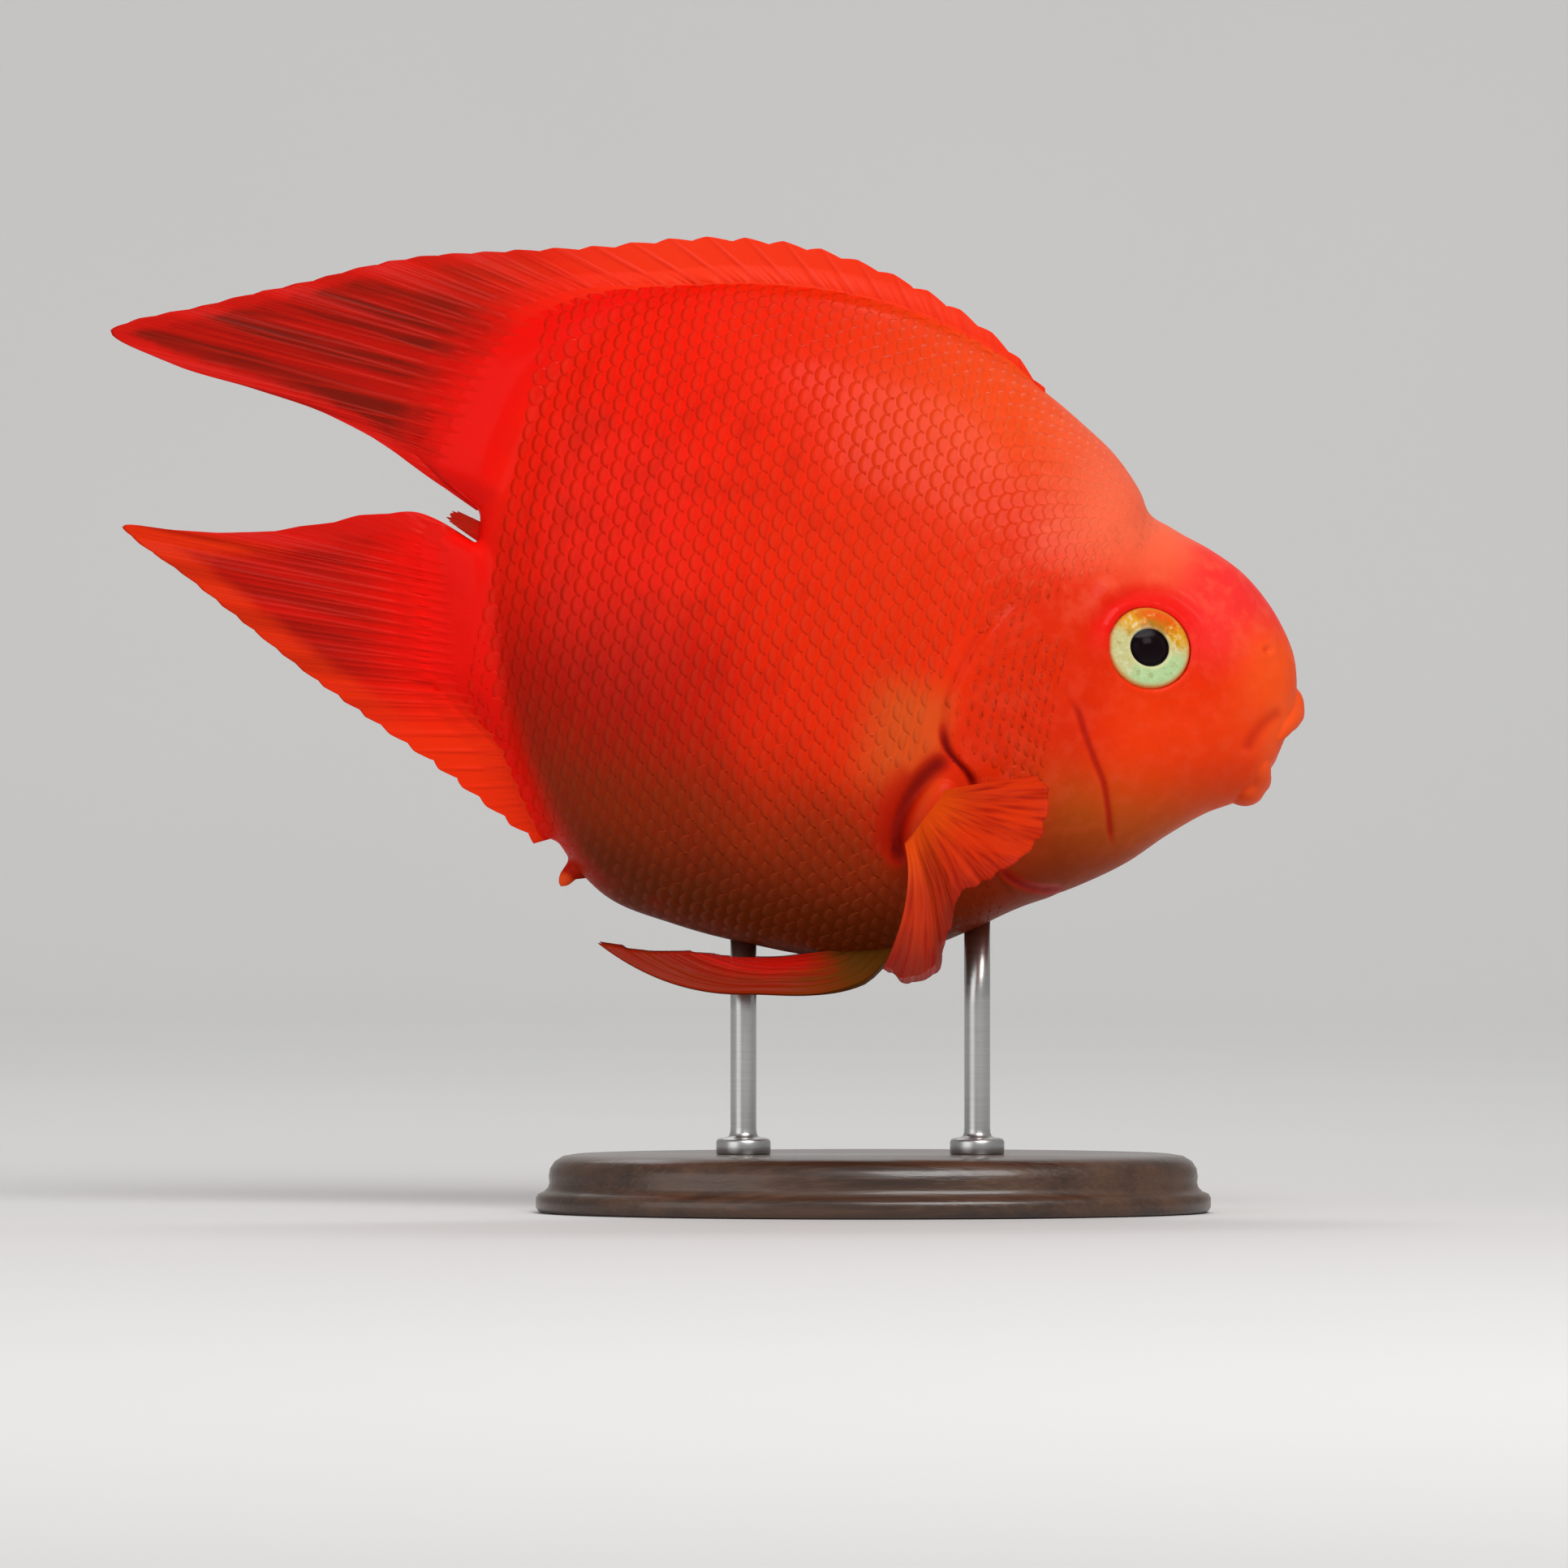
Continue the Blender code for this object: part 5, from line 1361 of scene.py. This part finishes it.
def skin_colour(finish):
    """The skin's colour at each spot: areas laid one over the last, each a share and a colour."""
    here = finish.here()
    x, _, z = finish.parts(here)
    drift = (finish.clouds(here, 16.0, 2.0) - 0.5) * 16.0
    blotch = finish.clouds(finish.stretch(here, (1.0, 1.0, 0.7)), 4.4, 3.0).rise(0.44, 0.76)
    fleck = finish.clouds(here, 2.6, 2.0).rise(0.42, 0.74)
    patch = x.rise(13.0, 9.0) * x.rise(-6.0, 4.0) * z.rise(-2.0, -10.0) * z.rise(-28.0, -18.0)
    from_vent = (x + 42.2) ** 2 + (z + 47.6) ** 2
    from_eye = ((x - EYE_AT[0]) ** 2 + (z - EYE_AT[1]) ** 2) ** 0.5
    above_eye = (z + (x - EYE_AT[0]) * -0.35).rise(5.0, 12.0)
    crease = finish.fact("crease")
    areas = {
        "rear": ((x + drift).rise(2.0, -46.0), REAR_RED),
        # Painted shade low at the rear, as if lit from above.
        "low at the rear": (
            (x + drift * 0.6).rise(-10.0, -38.0) * (z + drift * 0.5).rise(6.0, -20.0) * 0.8, REAR_SHADE
        ),
        "back": ((z + drift * 0.5).rise(16.0, 40.0) * x.rise(-26.0, 20.0) * 0.8, BACK_ORANGE),
        "nape": ((x + drift * 0.4).rise(12.0, 30.0) * z.rise(10.0, 26.0), NAPE_PINK),
        "forehead": (x.rise(38.0, 46.0) * z.rise(2.0, 14.0), FOREHEAD_PINK),
        "snout": (x.rise(48.0, 58.0) * z.rise(18.0, 10.0), SNOUT_ORANGE),
        "gill cover": (x.rise(10.0, 16.0) * x.rise(40.0, 30.0) * z.rise(18.0, 10.0) * 0.85, COVER_RED),
        "cheek": (x.rise(30.0, 40.0) * z.rise(8.0, -6.0) * 0.9, CHEEK_ORANGE),
        "jowl": (x.rise(18.0, 34.0) * (z + drift * 0.2).rise(-7.0, -22.0) * 0.85, JOWL_OLIVE),
        "behind the pectoral fin": (patch * 0.6, FLANK_PATCH),
        # The low flank and the belly: their own olive brown, darkened further with painted shade.
        "low flank": ((z + drift * 0.6).rise(-16.0, -34.0) * 0.85, SHADED_BELLY_OCHRE),
        "belly": ((z + drift * 0.5).rise(-32.0, -46.0) * 0.9, SHADED_BELLY_BROWN),
        "lips": (x.rise(57.0, 60.5) * z.rise(-15.0, -11.0) * z.rise(6.5, 3.5) * 0.8, LIP_SALMON),
        "mottle": (blotch * (x + drift).rise(14.0, -40.0) * z.rise(40.0, 24.0) * 0.28, MOTTLE_RED),
        "fins' flesh": (x.rise(-30.0, -52.0) * finish.fact("sheath"), SHEATH_RED),
        "flecks": (
            fleck * x.rise(-10.0, 30.0) * z.rise(-34.0, -20.0) * (0.12 + 0.20 * z.rise(4.0, 16.0)),
            NAPE_PINK,
        ),
        "vent": (from_vent.rise(7.0, 2.0) * 0.8, LIP_SALMON),
        "brow": (from_eye.rise(11.5, 7.4) * above_eye * 0.85, BROW_CRIMSON),
        # Painted shade in the creases, the gill cover's trench and the nostrils.
        "creases": (crease.rise(0.04, 0.5) * 0.75, CREASE_SHADE_RED),
        "deep creases": (crease.rise(0.3, 1.0) * 0.95, CREASE_SHADE_DARK),
    }
    colour = FLANK_RED
    for share, over in areas.values():
        colour = finish.mix(share, colour, over)
    return colour, here


def skin_finish(name):
    """Wet skin: soft under the surface, a clear slime coat over it, and fine pores."""
    finish = Finish(name)
    colour, here = skin_colour(finish)
    _, _, height = finish.parts(here)
    colour = finish.mix(finish.fact("edge") * 0.06, colour, SCALE_EDGE_PALE)
    pores = finish.clouds(here, 0.55, 4.0, 0.65)
    tone = finish.clouds(here, 2.2, 3.0, 0.6)
    colour = finish.mix((tone - 0.35) * 0.5, colour, finish.mix(0.35, colour, POOL_DARK))
    shader = finish.shine(
        base_color=colour,
        roughness=0.44 + (tone - 0.5) * 0.30,
        subsurface_weight=0.10,
        **UNDER_SKIN,
        coat_weight=0.02 + 0.06 * height.rise(-30.0, 0.0),
        coat_roughness=0.16,
        specular_ior_level=0.04,
        normal=finish.bump(pores, 0.00012, 0.5),
    )
    return finish.end(shader)


# %% [markdown]
# A fin is lit through as well as on its surface. Its membrane is a clear red and its rays are paler
# and opaque, so the membrane is given a little less than full cover, and the facts kept at its points say
# where the rays, the fleshy root and the margin are. Out past a long fin's sheath the clear membrane is
# darkened with painted shade, which stands in for a dark background seen through it, and between the
# rays of the other fins the grooves have painted shade.

# %% The fins' finish
# The membrane's darkest red is painted shade, standing in for a dark background seen through it, and the
# grooves' dark red is painted shade between the rays.
MEMBRANE_SHADE_DARK, RAY_RED, MARGIN_RED = (0.15, 0.007, 0.002), (0.56, 0.014, 0.005), (0.66, 0.008, 0.004)
GROOVE_SHADE_DARK = (0.30, 0.006, 0.002)


def fin_shine(finish, here, colour, alpha, roughness, wet, pores):
    """Ends a fin's finish with the shader that all fins share."""
    shader = finish.shine(
        base_color=colour,
        alpha=alpha,
        roughness=roughness,
        specular_ior_level=wet,
        coat_weight=wet,
        coat_roughness=0.3,
        subsurface_weight=0.08,
        **UNDER_SKIN,
        normal=finish.bump(finish.clouds(here, pores, 3.0), 0.0001, 0.4),
    )
    return finish.end(shader)


def long_fin_finish(name, shade_from, shade_to, deepest_shade, front_colour, margin_colour, margin_wide):
    """A long fin's finish: pure red along the sheath, clearer outside it and darkened there with painted
    shade that stands in for a dark background seen through it.
    """
    finish = Finish(name)
    here = finish.here()
    ray, travel, rim, soft, behind, out, number = [
        finish.fact(word) for word in ("ray", "travel", "rim", "soft", "behind", "out", "place")
    ]
    tone = finish.clouds(here, 3.0, 3.0)
    along = finish.node("ShaderNodeCombineXYZ", {}, {0: number * 0.8, 1: out * 1.5})
    streaks = finish.clouds(along, 1.0, 2.0).rise(0.36, 0.62)
    # Outside the sheath, painted shade darkens the clear membrane, in streaks along the rays.
    outside = (travel + (tone - 0.5) * 6.0).rise(shade_from, shade_to) * soft
    colour = finish.mix(outside * (0.55 + 0.45 * streaks) * deepest_shade, SHEATH_RED, MEMBRANE_SHADE_DARK)
    colour = finish.mix((1 - soft) * 0.85, colour, front_colour)
    band = (rim + (tone - 0.5) * 1.6).rise(margin_wide, margin_wide * 0.4) * soft
    colour = finish.mix(band * 0.8, colour, finish.mix(behind, margin_colour, MARGIN_RED))
    show = ray * (0.10 + 0.25 * (1 - soft) + 0.60 * outside)
    colour = finish.mix(show, colour, RAY_RED)
    clear = outside * (1 - ray) * (1 - band * 0.6)
    return fin_shine(finish, here, colour, 1 - clear * 0.04, 0.46 + (tone - 0.5) * 0.2, 0.04, 0.7)


def paired_fin_finish(name, root, middle, tip, last_middle, last_tip):
    """A paired fin's finish, from its root's colour to its tips', and from its first ray's to its last."""
    finish = Finish(name)
    here = finish.here()
    ray, out, share = finish.fact("ray"), finish.fact("out"), finish.fact("share")
    tone = finish.clouds(here, 3.5, 3.0)
    late = (share + (tone - 0.5) * 0.3).rise(0.35, 0.75)
    middle, tip = finish.mix(late, middle, last_middle), finish.mix(late, tip, last_tip)
    colour = finish.mix((out + (tone - 0.5) * 0.25).rise(0.05, 0.5), root, middle)
    colour = finish.mix((out + (tone - 0.5) * 0.25).rise(0.5, 1.0), colour, tip)
    # Painted shade in the grooves between the rays.
    groove = (1 - ray) * out.rise(0.05, 0.3)
    along = finish.node("ShaderNodeCombineXYZ", {}, {0: share * 24.0, 1: out * 1.6})
    groove = groove * (0.2 + 0.8 * finish.clouds(along, 1.0, 2.0).rise(0.42, 0.62))
    colour = finish.mix(groove * 0.75, colour, GROOVE_SHADE_DARK)
    alpha = 1 - (1 - ray) * out.rise(0.5, 1.0) * (0.08 + 0.22 * late)
    return fin_shine(finish, here, colour, alpha, 0.38 + (tone - 0.5) * 0.2, 0.03, 0.6)


# %% [markdown]
# The iris is golden orange above and in front, and a pale mint cream below, with faint brown flecks that
# run outward. The lens behind the pupil looks almost black. Its dome mirrors a little of the room, more
# at a glancing angle, and lets the rest through.

# %% The eye's finish
IRIS_CREAM, IRIS_MINT, IRIS_GOLD = (0.56, 0.53, 0.24), (0.44, 0.62, 0.30), (0.72, 0.34, 0.010)
# The top's orange and rust red are partly the iris's own colour, partly painted shade under the brow.
IRIS_TOP_ORANGE_AND_SHADE, IRIS_TOP_RUST_AND_SHADE, IRIS_OLIVE = (0.64, 0.135, 0.003), (0.80, 0.075, 0.001), (0.32, 0.20, 0.015)
IRIS_RING, IRIS_GLINT = (0.72, 0.66, 0.34), (0.76, 0.80, 0.58)
LENS_BLACK, EYE_EDGE = (0.005, 0.0015, 0.003), (0.70, 0.22, 0.025)


def iris_finish(name):
    """The iris and the lens."""
    finish = Finish(name)
    here = finish.here()
    x, _, z = finish.parts(here)
    reach, front = finish.fact("reach"), finish.fact("front")
    flecks = finish.clouds(here, 1.1, 4.0, 0.7)
    across, up = (x - EYE_AT[0]) / reach, (z - EYE_AT[1]) / reach
    low = across * 0.45 - up * 0.89 + (flecks - 0.5) * 0.8
    colour = finish.mix(low.rise(0.30, 0.80), IRIS_CREAM, IRIS_MINT)
    high = across * 0.13 + up * 0.99 + (flecks - 0.5) * 0.7
    colour = finish.mix(high.rise(0.05, 0.60), colour, IRIS_GOLD)
    # At the top the iris turns orange and rust red, partly its own colour and partly painted shade under
    # the brow.
    top = high.rise(0.62, 1.0)
    colour = finish.mix(top, colour, finish.mix(reach.rise(3.8, 5.6), IRIS_TOP_ORANGE_AND_SHADE, IRIS_TOP_RUST_AND_SHADE))
    shade = high.rise(0.1, 0.6) * reach.rise(4.8, 3.6) * flecks.rise(0.40, 0.60)
    colour = finish.mix(shade * 0.75, colour, IRIS_OLIVE)
    colour = finish.mix(flecks.rise(0.52, 0.70) * 0.5, colour, IRIS_OLIVE)
    colour = finish.mix(flecks.rise(0.47, 0.34) * (1 - top) * 0.35, colour, IRIS_GLINT)
    colour = finish.mix(reach.rise(3.6, 3.1) * (0.7 - top * 0.5), colour, IRIS_RING)
    colour = finish.mix(reach.rise(5.3, 6.3) * 0.9, colour, EYE_EDGE)
    colour = finish.mix(reach.rise(2.98, 2.88), colour, LENS_BLACK)
    colour = finish.mix(1 - front, colour, EYE_EDGE)
    shader = finish.shine(
        base_color=colour,
        roughness=0.06 + reach.rise(2.9, 3.1) * (0.22 + flecks * 0.3),
        specular_ior_level=0.04,
    )
    return finish.end(shader)


def dome_finish(name):
    """The clear dome: see-through, with a mirror layer that is stronger at a glancing angle."""
    finish = Finish(name)
    facing = finish.node("ShaderNodeLayerWeight", {}, {"Blend": 0.5}, "Facing")
    mirror = finish.shine(base_color=(1.0, 1.0, 1.0), metallic=1.0, roughness=0.03)
    clear = finish.node("ShaderNodeBsdfTransparent")
    share = 0.005 + 0.3 * facing ** 5
    return finish.end(finish.node("ShaderNodeMixShader", {}, {0: share, 1: clear, 2: mirror}))


# %% [markdown]
# The stand should look well made and stay quiet beside the fish. Its wood is noise drawn out along the
# grain, under a thin coat of wax, and the steel is brushed round the rods, which a noise squeezed along
# their height shows.

# %% The stand's finishes
WOOD_DARK, WOOD_BROWN = (0.030, 0.013, 0.007), (0.105, 0.045, 0.020)


def wood_finish(name):
    """Dark stained wood: long grain with pores, waxed."""
    finish = Finish(name)
    spot = finish.node("ShaderNodeTexCoord", {}, {}, "Object")
    long = finish.stretch(spot, (1.0, 9.0, 9.0))
    waves = finish.clouds(long, 0.055, 6.0, 0.62)
    fine = finish.clouds(finish.stretch(spot, (1.0, 22.0, 22.0)), 0.012, 3.0)
    grain = waves.rise(0.32, 0.68) * 0.7 + fine.rise(0.45, 0.7) * 0.3
    colour = finish.mix(grain, WOOD_DARK, WOOD_BROWN)
    shader = finish.shine(
        base_color=colour,
        roughness=0.30 + grain * 0.18,
        coat_weight=0.35,
        coat_roughness=0.12,
        normal=finish.bump(grain, 0.0002, 0.35),
    )
    return finish.end(shader)


def steel_finish(name):
    """Satin steel, brushed round the rod."""
    finish = Finish(name)
    spot = finish.node("ShaderNodeTexCoord", {}, {}, "Object")
    brush = finish.clouds(finish.stretch(spot, (1.0, 1.0, 40.0)), 0.02, 4.0, 0.7)
    shader = finish.shine(
        base_color=finish.mix(brush, (0.46, 0.46, 0.45), (0.66, 0.66, 0.64)),
        metallic=1.0,
        roughness=0.24 + brush * 0.16,
        normal=finish.bump(brush, 0.00004, 0.4),
    )
    return finish.end(shader)


# %% [markdown]
# Each piece gets its finish, is moved onto the stand and is tied to the body it rides on. The pieces
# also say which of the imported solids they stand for.

# %% Dress the fish
def dress(thing, material, nodes=(), in_fish=True):
    """Finish, place and ride for one piece."""
    thing.data.materials.clear()
    thing.data.materials.append(material)
    if in_fish:
        place(thing)
    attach(thing, "root")
    if nodes:
        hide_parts(*nodes)
    print(thing.name, "stands for:", ", ".join(nodes) or "nothing packed")


def skin_facts(thing, edge=None):
    """The facts that the skin's finish reads, for the skin or a coat of scales."""
    points = points_of(thing.data)
    if "crease" not in thing.data.attributes:
        keep_fact(thing, "crease", relief(points)[1])
    keep_fact(thing, "sheath", ease((beyond_rim(points[:, 0], points[:, 2]) + 4.0) / 5.0))
    keep_fact(thing, "edge", np.zeros(len(points)) if edge is None else edge)


FLESH = ["head", "lower_jaw", "gill_cover_right", "gill_cover_left", "trunk", "tail_stub"]
wet_skin = skin_finish("red_skin_wet")
skin_facts(skin)
dress(skin, wet_skin, FLESH)
for thing in coats:
    skin_facts(thing, scale_edges(thing))
    dress(thing, wet_skin)

dorsal_red = long_fin_finish("dorsal_red", 4.0, 19.0, 0.95, (0.84, 0.042, 0.010), MARGIN_RED, 2.6)
anal_red = long_fin_finish("anal_red", 8.0, 25.0, 0.66, (0.80, 0.030, 0.002), (0.78, 0.032, 0.002), 4.6)
FRINGE_BROWN = (0.46, 0.014, 0.004)
PECTORAL_ORANGE, PECTORAL_RED = (0.70, 0.065, 0.004), (0.68, 0.034, 0.003)
PECTORAL_LATE, PECTORAL_TIP, OLIVE = (0.50, 0.034, 0.006), (0.26, 0.026, 0.014), (0.13, 0.042, 0.002)
PELVIC_RED, SALMON = (0.62, 0.006, 0.001), (0.25, 0.020, 0.002)
fringe_brown = paired_fin_finish("fringe_brown", SHEATH_RED, *[FRINGE_BROWN] * 4)
pectoral_red = paired_fin_finish(
    "pectoral_red", PECTORAL_ORANGE, PECTORAL_RED, PECTORAL_RED, PECTORAL_LATE, PECTORAL_TIP
)
pelvic_red = paired_fin_finish("pelvic_red", OLIVE, SALMON, SALMON, PELVIC_RED, PELVIC_RED)
fins = {
    "dorsal_fin": (dorsal_blade, dorsal_red),
    "anal_fin": (anal_blade, anal_red),
    "tail_fringe": (tail_fringe, fringe_brown),
    "pectoral_fin_right": (pectoral_right, pectoral_red),
    "pectoral_fin_left": (pectoral_left, pectoral_red),
    "pelvic_fin_right": (pelvic_right, pelvic_red),
    "pelvic_fin_left": (pelvic_left, pelvic_red),
}
for node_name, (thing, red) in fins.items():
    dress(thing, red, [node_name])

gold_eye, clear_dome = iris_finish("golden_iris"), dome_finish("clear_dome")
for side, word in SIDES.items():
    dress(eyes[side], gold_eye, ["eye_" + word])
    dress(domes[side], clear_dome)
dark_wood, satin_steel = wood_finish("waxed_dark_wood"), steel_finish("satin_steel")
for node_name, thing in stand.items():
    wooden = node_name == "stand_base"
    material, slot = (dark_wood, "dark_wood") if wooden else (satin_steel, "steel")
    dress(thing, material, [node_name], in_fish=False)

# %% [markdown]
# The studio is a pale floor that sweeps up into the backdrop, with one large soft light above and in
# front, a weaker one from the other side and a pale room around them.

# %% The studio
FLOOR_FRONT, FLOOR_BACK, SWEEP_RADIUS, WALL_TOP, HALF_WIDE = -2.8, 1.7, 0.6, 2.6, 2.8


def sweep():
    """The floor and backdrop as one curved sheet."""
    turn = np.linspace(0.0, math.pi / 2, 40)
    curve = [(FLOOR_BACK + SWEEP_RADIUS * math.sin(a), SWEEP_RADIUS * (1 - math.cos(a))) for a in turn]
    line = [(FLOOR_FRONT, 0.0), *curve, (FLOOR_BACK + SWEEP_RADIUS, WALL_TOP)]
    points = [(x, y, z) for y, z in line for x in (-HALF_WIDE, HALF_WIDE)]
    faces = [(2 * i, 2 * i + 1, 2 * i + 3, 2 * i + 2) for i in range(len(line) - 1)]
    return mesh_object("studio_sweep", points, faces)


def soft_light(name, at, size, power, aim_at=(-0.01, 0.0, 0.08)):
    """A square area light that faces the fish, or another place."""
    lamp = bpy.data.lights.new(name, "AREA")
    lamp.energy, lamp.size = power, size
    thing = linked(name, lamp)
    thing.location = at
    aim = Vector(aim_at) - Vector(at)
    thing.rotation_euler = aim.to_track_quat("-Z", "Y").to_euler()


backdrop = sweep()
paper = Finish("pale_paper")
paper_spot = paper.node("ShaderNodeTexCoord", {}, {}, "Object")
paper_tone = paper.clouds(paper_spot, 0.3, 2.0)
paper_colour = paper.mix(paper_tone, (0.66, 0.655, 0.645), (0.69, 0.685, 0.675))
backdrop.data.materials.append(paper.end(paper.shine(base_color=paper_colour, roughness=0.85)))

soft_light("key", (0.30, -0.75, 0.85), 0.60, 8.6)
soft_light("fill", (-0.8, -0.8, 0.35), 0.8, 2.4)
soft_light("rim", (-0.2, 0.6, 0.8), 0.5, 1.2)
soft_light("backdrop_light", (0.0, 1.3, 1.9), 1.0, 15.0, aim_at=(0.0, 2.2, 0.3))
room = bpy.data.worlds.new("room")
room.use_nodes = True
room.node_tree.nodes["Background"].inputs["Color"].default_value = (1.0, 1.0, 1.0, 1.0)
room.node_tree.nodes["Background"].inputs["Strength"].default_value = 0.34
bpy.context.scene.world = room
bpy.context.scene.view_settings.view_transform = "Standard"

# %% [markdown]
# The photograph was taken square to the fish's side, from some way off. So the camera has a long lens
# and looks level at the right flank, with the frame as wide as the photograph's at the fish.

# %% The camera
FRAME_WIDTH, FRAME_MIDDLE = 0.2415, (-0.01375, 0.066)
CAMERA_AWAY = 2.0

lens = bpy.data.cameras.new("camera")
lens.sensor_width = 36.0
lens.lens = 36.0 * CAMERA_AWAY / FRAME_WIDTH
lens.clip_start = 0.01
camera = linked("camera", lens)
camera.location = (FRAME_MIDDLE[0], -CAMERA_AWAY, FRAME_MIDDLE[1])
camera.rotation_euler = (math.radians(90.0), 0.0, 0.0)
bpy.context.scene.camera = camera
